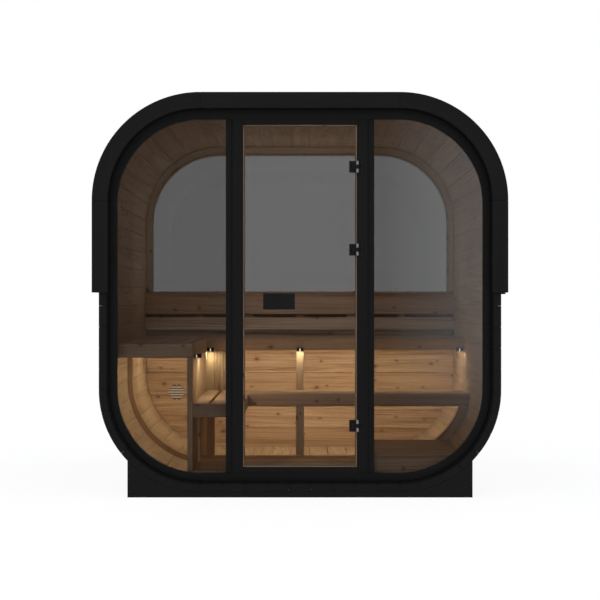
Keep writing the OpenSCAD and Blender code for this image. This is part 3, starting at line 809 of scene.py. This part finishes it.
def roof():
    """Cladding boards over the barrel, down both sides to the eaves, and bent over the two corners."""
    quarter = CORNER_R * math.pi / 2
    drop = CORNER_HIGH - EAVE_Z
    runs = [
        ("top", ["roof_top"], flat_bend((-CORNER_X, BARREL_HIGH), (1, 0), (0, 1)), 2 * CORNER_X),
        ("left_curve", ["roof_left_curve"], round_bend((-CORNER_X, CORNER_HIGH), 180), quarter),
        ("right_curve", ["roof_right_curve"], round_bend((CORNER_X, CORNER_HIGH), 90), quarter),
        ("left", [], flat_bend((-WALL_X, EAVE_Z), (0, 1), (-1, 0)), drop),
        ("right", ["roof_sides"], flat_bend((WALL_X, CORNER_HIGH), (0, -1), (1, 0)), drop),
    ]
    for seed, (place, nodes, bend, length) in enumerate(runs, 30):
        name = "roof_boards_" + place
        stave_run(name, seed, nodes, bend, length, ROOF_T, ROOF_T - ROOF_AIR, [CLADDING], ROOF_BEVEL)


def fascia(name, seed, node):
    """Arch of five boards over one end of the roof: two uprights, two bent corners and one across the top."""
    pile = Pile(name, seed)
    y0, y1 = side(node, 1, 0), side(node, 1, 1)
    width, edge = ROOF_T + STAVE_T, 0.003
    mid = CORNER_R + (ROOF_T - STAVE_T) / 2
    for sign in (-1, 1):
        x = sign * (CORNER_X + mid)
        pile.board((x - width / 2, y0, EAVE_Z), (x + width / 2, y1, CORNER_HIGH - JOINT), edge)
        outward = arc((0, 0), 1, 0.03, 89.97, 40)
        path = outward * mid + [CORNER_X, CORNER_HIGH]
        profile = rounded(width, y1 - y0, edge)
        pile.bent(path * [sign, 1], outward * [sign, 1], profile, (y0 + y1) / 2, ease=END_EASE)
    pile.board((-CORNER_X + JOINT, y0, CORNER_HIGH + mid - width / 2),
               (CORNER_X - JOINT, y1, CORNER_HIGH + mid + width / 2), edge)
    pile.piece("cabin", "black", [CLADDING], node)


def base():
    """Three cradles cut to the barrel's curve, and the two rails between them."""
    pile = Pile("cradle_boards", 40)
    radius = CORNER_R + FIT
    for low, high in solids_of("cradles"):
        lean = math.degrees(math.asin((high[0] - CORNER_X) / radius))
        seat = arc((CORNER_X, CORNER_LOW), radius, lean - 90, -90, 24)
        right = np.concatenate([[(high[0], 0.0)], seat])
        outline = np.concatenate([right, mirrored(right)])
        pile.slab(outline, low[1], high[1], 0.002)
    pile.piece("cabin", "black", [CLADDING], "cradles")
    boards("rail_boards", 41, "base_rails", "black", CLADDING)


# ---------------- plain boards

def boards(name, seed, node, slot, finish, radius=EASE):
    """One planed board for each separate solid of a CAD node."""
    pile = Pile(name, seed)
    for low, high in solids_of(node):
        pile.board(low, high, radius)
    pile.piece("cabin", slot, [finish], node)


# ---------------- front wall

def opening_loop(half_x, radius, corner_low, corner_high):
    """Closed anticlockwise outline with four round corners, whose centres are at two heights."""
    centres = [(1, corner_low), (1, corner_high), (-1, corner_high), (-1, corner_low)]
    corners = zip(centres, (-90, 0, 90, 180))
    return np.concatenate([
        arc((sign * (half_x - radius), z), radius, start, start + 90, 20) for (sign, z), start in corners
    ])


def front_frame():
    """Ring between the staves and the glass, with a rebate for the fixed panes behind."""
    pile = Pile("front_ring", 50)
    inner = opening_loop(OPEN_X, OPEN_R, OPEN_LOW + OPEN_R, OPEN_HIGH - OPEN_R)
    outer = opening_loop(INNER_X - FIT, INNER_R - FIT, CORNER_LOW, CORNER_HIGH)
    width = INNER_X - OPEN_X
    step, share = FRAME_BEVEL / width, REBATE / width
    front, back, seat = FRONT_FACE + FRAME_BEVEL, FRONT_BACK - FRAME_BEVEL, PANE_FRONT - FIT
    profile = np.array([
        (0, front), (step * 0.3, FRONT_FACE + FRAME_BEVEL * 0.3), (step, FRONT_FACE), (1 - step, FRONT_FACE),
        (1, front), (1, back), (1 - step, FRONT_BACK), (share + step, FRONT_BACK), (share, back),
        (share, seat), (0, seat),
    ])
    pile.between(inner, outer, profile, width, ring=True)
    pile.piece("cabin", "black", [JOINERY], "front_frame")


def glazing_strips():
    """Upright strips beside the fixed panes, each with a rebate behind its outer edge for the glass."""
    pile = Pile("glazing_strips_eased", 51)
    for low, high in solids_of("glazing_strips"):
        sign = 1 if low[0] > 0 else -1
        inner, outer = (low[0], high[0])[::sign]
        bevel, rebated = sign * POST_BEVEL, outer - sign * REBATE
        front, seat = low[1] + POST_BEVEL, PANE_FRONT - FIT
        profile = [
            (inner, front), (inner + bevel, low[1]), (outer - bevel, low[1]), (outer, front),
            (outer, seat), (rebated, seat), (rebated, high[1]), (inner, high[1]),
        ]
        pile.straight(profile, 2, low[2], high[2])
    pile.piece("cabin", "black", [JOINERY], "glazing_strips")


def door_stop():
    """Thin wooden lining behind the door's edge, mitred at its four corners."""
    pile = Pile("door_lining", 52)
    (x0, y0, z0), (x1, y1, z1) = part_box("door_stop")
    corners = np.array([(x1, z0), (x1, z1), (x0, z1), (x0, z0)])
    ways = np.array([(1, -1), (1, 1), (-1, 1), (-1, -1)])
    profile = rounded(LINING_W, y1 - y0, 0.0015) - [LINING_W / 2, 0]
    for i in range(4):
        ends = [i, (i + 1) % 4]
        rows = np.empty((2, len(profile), 3))
        rows[..., [0, 2]] = corners[ends][:, None] + ways[ends][:, None] * profile[:, :1]
        rows[..., 1] = (y0 + y1) / 2 + profile[:, 1]
        grain = np.empty_like(rows)
        grain[..., :2] = profile
        grain[..., 2] = rows[..., 0] + rows[..., 2]
        pile.shell(rows, grain)
    pile.piece("cabin", "wood", [BENCH_TIMBER], "door_stop")


def pane_loop(sign, grow):
    """Outline of a side pane's daylight opening, moved out by grow, and its outward rays.

    It is straight beside the door and round on the other side.
    """
    rays = np.concatenate([arc((0, 0), 1, -90, 0, 20), arc((0, 0), 1, 0, 90, 20)])
    centres = np.repeat([(CORNER_X, OPEN_LOW + OPEN_R), (CORNER_X, OPEN_HIGH - OPEN_R)], 21, axis=0)
    low, high = (PANE_X - grow, OPEN_LOW - grow), (PANE_X - grow, OPEN_HIGH + grow)
    path = np.concatenate([[low], centres + rays * (OPEN_R + grow), [high]])
    outward = np.concatenate([[(-1, -1)], rays, [(-1, 1)]])
    return path * [sign, 1], outward * [sign, 1]


def seals():
    """Rubber seals against both faces of the fixed panes, along the edge of the daylight."""
    pile = Pile("glazing_seals", 53)
    profile = rounded(SEAL_W, SEAL_T, SEAL_EASE)
    for sign in (-1, 1):
        path, outward = pane_loop(sign, SEAL_W / 2 - SEAL_SHOWN)
        for y in (PANE_FRONT - SEAL_T / 2, PANE_BACK + SEAL_T / 2):
            pile.bent(path, outward, profile, y, ring=True)
    pile.piece("cabin", "black", [RUBBER])


# ---------------- rear wall

def rear_arch(x, radius, centre_z):
    """Path up from the rear window's sill at x, over two round corners and down, and its outward rays."""
    left, right = arc((0, 0), 1, 90, 180, 24), arc((0, 0), 1, 0, 90, 24)
    corners = [right * radius + [CORNER_X, centre_z], left * radius + [-CORNER_X, centre_z]]
    path = np.concatenate([[(x, SILL_Z)], *corners, [(-x, SILL_Z)]])
    return path, np.concatenate([[(1, 0)], right, left, [(-1, 0)]])


def rear_frame():
    """Arched frame of the rear window: black outside and bare timber inside, rebated for the pane."""
    pile = Pile("rear_arch_frame", 60)
    inner, _ = rear_arch(REAR_X, REAR_R, REAR_HIGH - REAR_R)
    outer, _ = rear_arch(INNER_X - FIT, INNER_R - FIT, CORNER_HIGH)
    width = INNER_X - REAR_X
    step, share = FRAME_BEVEL / width, REBATE / width
    inside, outside = REAR_INNER + FRAME_BEVEL, REAR_FACE - FRAME_BEVEL
    profile = np.array([
        (share, inside), (share + step, REAR_INNER), (1 - step, REAR_INNER), (1, inside),
        (1, REAR_PANE_BACK), (1, outside), (1 - step, REAR_FACE), (step, REAR_FACE), (0, outside),
        (0, REAR_PANE_BACK), (share, REAR_PANE_BACK),
    ])
    skin = np.array([1, 1, 1, 1, 0, 0, 0, 0, 0, 1, 1])
    pile.between(inner, outer, profile, width, skin)
    pile.piece("cabin", "black", [JOINERY, ARCH_TIMBER], "rear_frame")


def rear_bead():
    """Timber bead that holds the rear pane in its rebate: round the arch and along the rail."""
    pile = Pile("rear_glazing_bead", 64)
    air, edge = 2 * FIT, 0.003
    width, depth = REBATE - air, REAR_PANE_FRONT - REAR_INNER - air
    path, outward = rear_arch(REAR_X + REBATE / 2, REAR_R + REBATE / 2, REAR_HIGH - REAR_R)
    pile.bent(path, outward, rounded(width, depth, edge), REAR_INNER + air + depth / 2, ease=0.001)
    reach = REAR_X + REBATE - FIT
    pile.board((-reach, REAR_INNER + air, SILL_Z - REBATE / 2 - width / 2),
               (reach, REAR_PANE_FRONT, SILL_Z - 0.0001), edge)
    pile.piece("cabin", "wood", [ARCH_TIMBER])


def rear_rail():
    """Rail under the rear window, with a rebate along its top for the pane and a sloped outer edge."""
    pile = Pile("rear_sill_rail", 61)
    low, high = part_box("rear_window_rail")
    inside, outside, rebate = low[1] + FRAME_BEVEL, high[1] - FRAME_BEVEL, high[2] - REBATE
    slope = 0.004
    profile = [
        (inside, low[2]), (REAR_PANE_BACK, low[2]), (outside, low[2]), (high[1], low[2] + FRAME_BEVEL),
        (high[1], high[2] - slope), (high[1] - slope, high[2]), (REAR_PANE_BACK, high[2]),
        (REAR_PANE_BACK, rebate), (inside, rebate), (low[1], rebate - FRAME_BEVEL),
        (low[1], low[2] + FRAME_BEVEL),
    ]
    pile.straight(profile, 0, low[0], high[0], np.array([1, 0, 0, 0, 0, 0, 1, 1, 1, 1, 1]))
    pile.piece("cabin", "black", [JOINERY, INSIDE_TIMBER], "rear_window_rail")


def rear_boards():
    """Level boards of the rear wall, their ends cut to the barrel's curve, black outside and bare inside."""
    pile = Pile("rear_wall_cladding", 62)
    low, high = side("rear_wall_boards", 2, 0), side("rear_wall_boards", 2, 1)
    count = round((high - low) / REAR_BOARD_W)
    for i in range(count):
        z0 = low + (high - low) * i / count + JOINT
        z1 = low + (high - low) * (i + 1) / count - JOINT
        right = barrel_side(z0, z1, -STAVE_T - FIT, 8)
        outline = np.concatenate([right, mirrored(right)])
        pile.slab(outline, REAR_INNER, REAR_FACE, INNER_BEVEL, skin=1, back_skin=0)
    pile.piece("cabin", "stave", [CLADDING, INSIDE_TIMBER], "rear_wall_boards")


def vent():
    """Round air vent: level bars over a dish coloured dark brown as painted shade, with a thin rim."""
    pile = Pile("vent_bars", 63)
    low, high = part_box("vent_grille")
    x, back, z = (low[0] + high[0]) / 2, high[1], (low[2] + high[2]) / 2
    radius, rim, sunk = (high[0] - low[0]) / 2, (low[1] - high[1]) * 0.4, 0.0012
    dish = [(SHAFT_R, -sunk), (radius - 0.003, -sunk), (radius - 0.0025, rim),
            (radius - 0.0006, rim), (radius, 0.0), (radius - 0.002, -0.0001)]
    # The dish takes the second finish, the painted shade between the bars.
    pile.turned(dish, (x, back, z), axis=1, segments=64, skin=1)
    pitch = radius / 3.25
    half = pitch * 0.24
    for step in range(-3, 4):
        level = z + step * pitch
        reach = math.sqrt(radius ** 2 - (abs(level - z) + half) ** 2)
        pile.board((x - reach, low[1], level - half), (x + reach, back - sunk, level + half), 0.001)
    pile.piece("cabin", "vent", [VENT_PLASTIC, VENT_PAINTED_SHADE], "vent_grille")


# ---------------- benches and floor


def bench_skirts():
    """Skirts of both benches: along the back arm, along the side arm and across its front end."""
    inner = max(solids_of("lower_bench_slats"), key=lambda box: box[1][0])[0][0]
    skirts = {
        "upper": [((-INNER_X, UPPER_Y), (INNER_X, UPPER_Y + BOARD_T)),
                  ((ROW_X, ARM_Y + BOARD_T), (UPPER_X, UPPER_Y)),
                  ((-INNER_X, ARM_Y), (UPPER_X, ARM_Y + BOARD_T))],
        "lower": [((inner, LOWER_Y), (side("lower_bench_skirts", 0, 1), LOWER_Y + BOARD_T)),
                  ((inner, ARM_Y + BOARD_T), (inner + BOARD_T, LOWER_Y)),
                  ((UPPER_X, ARM_Y), (inner + BOARD_T, ARM_Y + BOARD_T))],
    }
    for seed, (bench, runs) in enumerate(skirts.items(), 70):
        pile = Pile(bench + "_skirt_boards", seed)
        node = bench + "_bench_skirts"
        for low, high in runs:
            pile.board((*low, side(node, 2, 0)), (*high, side(node, 2, 1)), SEAT_EASE)
        pile.piece("cabin", "wood", [BENCH_TIMBER], node)


def upright_boards(pile, axis, start, end, count, fixed, low_z, high_z):
    """Boards on end side by side along an axis; fixed is their range on the other level axis."""
    width = (end - start) / count
    for i in range(count):
        low, high = [0, 0, low_z], [0, 0, high_z]
        low[axis], high[axis] = start + i * width + JOINT, start + (i + 1) * width - JOINT
        low[1 - axis], high[1 - axis] = fixed
        pile.board(low, high, UPRIGHT_EASE)


def risers():
    """Boards on end under the upper bench: along its side arm and in the corner.

    Two of those along the side arm are cut short, and leave a low opening under them.
    """
    pile = Pile("side_riser_boards", 72)
    floor_z, top_z = side("side_riser", 2, 0) + 0.003, side("side_riser", 2, 1)
    opening_z, opening_w, behind_w = side("lower_bench_skirts", 2, 0), 0.212, 0.188
    back = LOWER_Y - behind_w
    front = back - opening_w
    fixed = (ROW_X, UPPER_X)
    upright_boards(pile, 1, ARM_Y, front, 4, fixed, floor_z, top_z)
    upright_boards(pile, 1, front, back, 2, fixed, opening_z, top_z)
    upright_boards(pile, 1, back, UPPER_Y, 6, fixed, floor_z, top_z)
    pile.piece("cabin", "wood", [INSIDE_TIMBER], "side_riser")
    pile = Pile("corner_riser_boards", 73)
    low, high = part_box("corner_riser")
    upright_boards(pile, 0, low[0], high[0], 3, (low[1], high[1]), low[2], high[2])
    pile.piece("cabin", "wood", [INSIDE_TIMBER], "corner_riser")


def platform():
    """Low deck for the heater: boards on two supports, behind a front board cut to the staves."""
    pile = Pile("heater_deck", 74)
    low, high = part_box("heater_platform")
    deck_low, deck_y, count, half_gap = high[2] - BOARD_T, low[1] + BOARD_T, 7, 0.001
    width = (high[1] - deck_y) / count
    for i in range(count):
        y = deck_y + i * width
        pile.board((low[0], y + half_gap, deck_low), (high[0], y + width - half_gap, high[2]))
    for x in (low[0], CORNER_X):
        pile.board((x, deck_y, low[2]), (x + BOARD_T, high[1], deck_low))
    curve = barrel_side(low[2], high[2], -STAVE_T - FIT, 12)
    outline = np.concatenate([[(low[0], low[2])], curve, [(low[0], high[2])]])
    pile.slab(outline, low[1], deck_y)
    pile.piece("cabin", "wood", [INSIDE_TIMBER], "heater_platform")


def ribs():
    """Two curved ribs against the lower corners, each bent to the barrel."""
    pile = Pile("curved_ribs", 75)
    left_t, right_t = 0.028, 0.048
    for low, high in solids_of("wall_ribs"):
        sign, thick, inner = (1, right_t, CORNER_X) if low[0] > 0 else (-1, left_t, -ROW_X)
        top = high[2]
        start = -math.degrees(math.acos(min((inner - CORNER_X) / INNER_R, 1.0)))
        end = math.degrees(math.asin(min((top - CORNER_LOW) / INNER_R, 0.0)))
        mid = INNER_R - FIT - thick / 2
        outward = arc((0, 0), 1, start, end, 32)
        path = outward * mid + [CORNER_X, CORNER_LOW]
        if top > CORNER_LOW:
            path = np.concatenate([path, [(CORNER_X + mid, top)]])
            outward = np.concatenate([outward, [(1, 0)]])
        profile = rounded(thick, LOWER_Y - RIB_Y, 0.002)
        pile.bent(path * [sign, 1], outward * [sign, 1], profile, (RIB_Y + LOWER_Y) / 2, ease=0.0015)
    pile.piece("cabin", "wood", [BENCH_TIMBER], "wall_ribs")


def lamps():
    """Small lamps under the upper bench: a dark turned cup, open towards the room, round a frosted lens."""
    cups, lenses = Pile("lamp_cups", 80), Pile("lamp_lenses", 81)
    for low, high in solids_of("bench_lamps"):
        centre = (low + high) / 2
        radius, top = (high[0] - low[0]) / 2, (high[2] - low[2]) / 2
        towards, half_open = (232, 3 * LAMP_SLOT) if centre[1] < 0 else (270, LAMP_SLOT)
        turn = np.radians(np.linspace(towards + half_open, towards + 360 - half_open, 48))
        section = rounded(0.003, 2 * top, 0.0012) + [radius - 0.0016, 0]
        rows = np.empty((len(turn), len(section), 3))
        rows[..., 0] = centre[0] + section[:, 0] * np.cos(turn)[:, None]
        rows[..., 1] = centre[1] + section[:, 0] * np.sin(turn)[:, None]
        rows[..., 2] = centre[2] + section[:, 1]
        cups.shell(rows, rows - centre)
        bore, core = radius - 0.0034, radius * 0.52
        lid = [(0.002, top - 0.0035), (bore, top - 0.0035), (bore, top - 0.0005), (0.002, top - 0.0005)]
        cups.turned(lid, centre)
        lens = [(core * 0.2, -top), (core * 0.7, 0.0008 - top), (core, 0.004 - top), (core, top - 0.005),
                (core * 0.8, top - 0.0038), (core * 0.2, top - 0.0036)]
        lenses.turned(lens, centre, segments=24)
    cups.piece("cabin", "lamp", [LAMP_SHELL], "bench_lamps")
    lenses.piece("cabin", "lamp", [LAMP_LENS])


# ---------------- hinges and handle

def hinge_parts():
    """Each hinge: a plate with two screws on the glass, three knuckles, and two leaves on the post."""
    plates, knuckles = Pile("hinge_plates", 90), Pile("hinge_middle_knuckles", 91)
    leaves, ends = Pile("hinge_post_leaves", 92), Pile("hinge_outer_knuckles", 93)
    joint = next(j for j in frame["joints"] if j["name"] == "door_hinge")
    x, y = joint["pos_m"][:2]
    radius, bore, ease = 0.0065, 0.0032, 0.001
    plate_w, plate_y = 0.034, LEAF_FRONT - 0.005
    leaf_w, leaf_y = 0.028, FRONT_FACE - 0.003
    for low, high in solids_of("door_hinges"):
        mid, tall = (low[2] + high[2]) / 2, high[2] - low[2]
        half = (tall / 3 - 2 * FIT) / 2
        plates.board((low[0], plate_y, low[2]), (low[0] + plate_w, LEAF_FRONT, high[2]), 0.0016)
        for z in (mid - tall * 0.3, mid + tall * 0.3):
            plates.screw(low[0] + 0.012, plate_y, z, 0.0009)
        arm_low, arm_high = (low[0] + 0.016, y - 0.0062), (x - 0.004, LEAF_FRONT - 0.0045)
        plates.board((*arm_low, mid - half), (*arm_high, mid + half), 0.0012)
        knuckle = [(bore, -half), (radius - ease, -half), (radius, ease - half),
                   (radius, half - ease), (radius - ease, half), (bore, half)]
        knuckles.turned(knuckle, (x, y, mid))
        for step in (-1, 1):
            z, tip = mid + step * (tall / 2 - half), mid + step * (tall / 2 - 0.0008)
            ends.turned(knuckle, (x, y, z))
            cap = [(SHAFT_R, 0), (0.0024, 0), (0.0028, 0.0006 * step), (SHAFT_R, 0.0008 * step)]
            ends.turned(cap, (x, y, tip), segments=20)
            leaves.board((x, leaf_y, z - half), (x + leaf_w, FRONT_FACE, z + half), 0.0009)
            leaves.screw(x + 0.019, leaf_y, z, 0.0008)
    plates.piece("door", "hardware", [HARDWARE, STEEL], "door_hinges")
    knuckles.piece("door", "hardware", [HARDWARE])
    leaves.piece("cabin", "hardware", [HARDWARE], "post_hinges")
    ends.piece("cabin", "hardware", [STEEL])


def handle():
    """Door handle: a plain black plate on each face of the glass, joined by two bolts with washers."""
    pile = Pile("handle_plates", 94)
    (x0, y0, z0), (x1, y1, z1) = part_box("door_handle")
    thick, edge = 0.014, 0.003
    pile.board((x0, y0, z0), (x1, y0 + thick, z1), edge)
    pile.board((x0, y1 - thick, z0), (x1, y1, z1), edge)
    bolt_r, washer_r, start, washer_y = 0.005, 0.009, y0 + thick - 0.001, LEAF_FRONT - 0.002
    bolt = [(SHAFT_R, start), (bolt_r, start), (bolt_r, washer_y), (washer_r, washer_y),
            (washer_r, LEAF_FRONT), (bolt_r, LEAF_FRONT + 0.0002), (bolt_r, LEAF_BACK), (SHAFT_R, LEAF_BACK)]
    for step in (-1, 1):
        x = (x0 + x1) / 2 + step * (x1 - x0) / 3
        pile.turned(bolt, (x, 0, (z0 + z1) / 2), axis=1, skin=1)
    pile.piece("door", "hardware", [HARDWARE, STEEL], "door_handle")


# ---------------- studio

def area_light(name, place, aim, size, power, colour):
    """Soft rectangular light at a place, facing a point, and unseen itself."""
    light = bpy.data.lights.new(name, "AREA")
    light.shape = "RECTANGLE"
    light.size, light.size_y = size
    light.energy = power
    light.color = colour
    lamp = bpy.data.objects.new(name, light)
    bpy.context.scene.collection.objects.link(lamp)
    lamp.location = place
    lamp.rotation_euler = (Vector(aim) - Vector(place)).to_track_quat("-Z", "Y").to_euler()
    lamp.visible_camera = lamp.visible_glossy = False


def studio_sheet(name, corners, owner):
    """Flat staged sheet through four corners."""
    mesh = bpy.data.meshes.new(name)
    mesh.from_pydata(corners, [], [(0, 1, 2, 3)])
    mesh.materials.append(owner)
    sheet = bpy.data.objects.new(name, mesh)
    bpy.context.scene.collection.objects.link(sheet)
    return sheet


def studio():
    """Pale floor, white surroundings, a dim card in front with a pale side to the right, and soft lights.

    The floor turns into the white of the surroundings with distance. The card shows in mirrored rays
    alone, and hangs below the floor too, which those rays pass through.
    """
    scene = bpy.context.scene
    scene.view_settings.view_transform = "Standard"
    scene.world = bpy.data.worlds.new("studio_world")
    world = Finish(scene.world)
    lit = world.add("ShaderNodeBackground", {}, {"Color": (0.86, 0.88, 0.92, 1), "Strength": 1.35})
    white = world.add("ShaderNodeBackground", {}, {"Color": (1, 1, 1, 1), "Strength": 1.0})
    world.end(world.add("ShaderNodeMixShader", {}, [seen_rays(world), lit, white]), "ShaderNodeOutputWorld")

    floor = material("pale_floor")
    x, y, _ = floor.spot().split()
    distance = (x * x + y * y) ** 0.5
    white_share = 0.90 + distance.fade(1.8, 6.0) * 0.10
    matt = floor.add("ShaderNodeBsdfDiffuse", {}, {"Color": (0.86, 0.86, 0.86, 1)})
    glow = floor.add("ShaderNodeEmission", {}, {"Color": (1, 1, 1, 1), "Strength": 1.0})
    ground = floor.end(floor.add("ShaderNodeMixShader", {}, [seen_rays(floor) * white_share, matt, glow]))
    reach = 400
    corners = [(-reach, -reach, 0), (reach, -reach, 0), (reach, reach, 0), (-reach, reach, 0)]
    studio_sheet("studio_floor", corners, ground).visible_glossy = False

    card = material("studio_card")
    across, _, up = card.spot().split()
    pale = ((across - 0.79) * 1.66).most(0.0) * up.fade(-0.55, 0.65)
    glow = card.add("ShaderNodeEmission", {}, {"Color": (0.95, 1, 1.03, 1), "Strength": pale + 0.05})
    y = -7.5
    corners = [(-2, y, -3), (2, y, -3), (2, y, 5), (-2, y, 5)]
    sheet = studio_sheet("studio_front_card", corners, card.end(glow))
    sheet.visible_camera = sheet.visible_diffuse = sheet.visible_shadow = sheet.visible_transmission = False

    area_light("key_light", (-1.4, -5.6, 4.6), (0, -0.6, 1.0), (3.2, 2.2), 60, (1, 0.99, 0.97))
    area_light("fill_light", (2.6, -5.4, 2.4), (0, -0.8, 1.0), (2.4, 2.4), 18, (0.97, 0.98, 1))


def lamp_light():
    """Light of the lamps and of the strips under the benches, and a little of the room's own."""
    warm, amber, cool = (1.0, 0.92, 0.68), (1.0, 0.84, 0.56), (0.6, 0.8, 1)
    neutral, lime = (1, 0.97, 0.93), (0.95, 1.0, 0.72)
    under_upper = side("upper_bench_skirts", 2, 0) - 0.004
    under_lower = side("lower_bench_skirts", 2, 0) - 0.004
    riser_low, riser_high = (UPPER_X, -0.42, under_upper - 0.32), (UPPER_X + 0.1, -0.42, under_upper - 0.02)
    lights = {
        "strip_under_back_bench":
            ((0, UPPER_Y + 0.08, under_upper), (0, REAR_INNER, 0.45), (1.9, 0.05), 9.9, warm),
        "strip_before_back_bench":
            ((0.3, UPPER_Y - 0.03, under_upper + 0.003), (0.3, UPPER_Y - 0.03, 0), (1.3, 0.02), 2.7, warm),
        "strip_under_left_bench":
            ((ROW_X - 0.05, -0.12, under_upper), (-INNER_X, -0.12, 0.3), (1.5, 0.05), 6.2, warm),
        "strip_under_lower_bench":
            ((0.25, LOWER_Y + 0.06, under_lower), (0.25, UPPER_Y + 0.1, 0.1), (1.1, 0.04), 1.75, warm),
        "glow_beside_riser":
            (riser_high, riser_low, (0.9, 0.08), 2.1, amber),
        "glow_before_back_skirt":
            ((0.2, UPPER_Y - 0.25, 0.58), (0.2, UPPER_Y, 0.76), (1.5, 0.05), 0.5, warm),
        "glow_under_backrest":
            ((0, REAR_INNER - 0.22, 0.8), (0, REAR_INNER, 0.8), (1.9, 0.02), 0.45, cool),
        "room_light":
            ((0, -0.72, 1.0), (0, 1, 1.0), (1.2, 1.3), 1.5, neutral),
        "seat_light":
            ((0, 0.1, 1.3), (0, 1, 1.2), (1.5, 0.3), 2.0, neutral),
    }
    for name, settings in lights.items():
        area_light(name, *settings)
    for i, (low, high) in enumerate(solids_of("bench_lamps")):
        x, y, z = (low[0] + high[0]) / 2, (low[1] + high[1]) / 2, low[2] - 0.002
        place, size, power = (x, y - 0.004, z), (0.03, 0.03), 0.13
        if abs(x - UPPER_X) < 0.05:
            place, power = (x, y - 0.03, z), 0.6
        if y < 0:
            place, size, power = (UPPER_X + 0.04, y + 0.37, z), (0.03, 0.16), 0.7
        area_light(f"lamp_beam_{i}", place, (place[0], place[1], 0), size, power, lime)


def camera():
    """Level camera in front of the door, at about half the cabin's height, with the whole cabin in view."""
    distance, frame_w, eye_z = 7.85, 3.0396, 0.9955
    data = bpy.data.cameras.new("camera")
    data.sensor_width = 36
    data.lens = data.sensor_width * distance / frame_w
    data.shift_y = 0.0025
    eye = bpy.data.objects.new("camera", data)
    eye.location = (0, side("front_fascia", 1, 0) - distance, eye_z)
    eye.rotation_euler = (math.pi / 2, 0, 0)
    bpy.context.scene.collection.objects.link(eye)
    bpy.context.scene.camera = eye


# ---------------- the whole sauna

camera()
barrel()
roof()
fascia("front_fascia_boards", 35, "front_fascia")
fascia("rear_fascia_boards", 36, "rear_fascia")
base()
front_frame()
boards("door_post_boards", 16, "door_posts", "black", JOINERY, POST_BEVEL)
boards("door_head_board", 15, "door_head", "black", JOINERY, POST_BEVEL)
boards("door_sill_board", 15, "door_sill", "black", JOINERY, POST_BEVEL)
glazing_strips()
door_stop()
seals()
rear_frame()
rear_bead()
rear_rail()
rear_boards()
vent()
boards("floor_slat_boards", 64, "floor_slats", "wood", INSIDE_TIMBER, 0.003)
boards("floor_bearer_boards", 65, "floor_bearers", "wood", INSIDE_TIMBER)
boards("upper_seat_slats", 66, "upper_bench_slats", "wood", BENCH_TIMBER, SEAT_EASE)
boards("lower_seat_slats", 67, "lower_bench_slats", "wood", BENCH_TIMBER, SEAT_EASE)
bench_skirts()
boards("bench_post_boards", 68, "bench_posts", "wood", BENCH_TIMBER, 0.003)
boards("bench_bearer_boards", 69, "bench_bearers", "wood", INSIDE_TIMBER)
risers()
platform()
ribs()
boards("backrest_slat_boards", 76, "backrest_slats", "wood", BENCH_TIMBER, SEAT_EASE)
boards("backrest_batten_boards", 77, "backrest_battens", "wood", BENCH_TIMBER, 0.003)
lamps()
hinge_parts()
handle()
panes = {
    "left_pane": SIDE_GLASS, "right_pane": SIDE_GLASS, "rear_pane": REAR_GLASS, "door_glass": DOOR_GLASS,
}
for node, glass in panes.items():
    materials = frame["nodes"][node].data.materials
    materials.clear()
    materials.append(glass)
lamp_light()
studio()
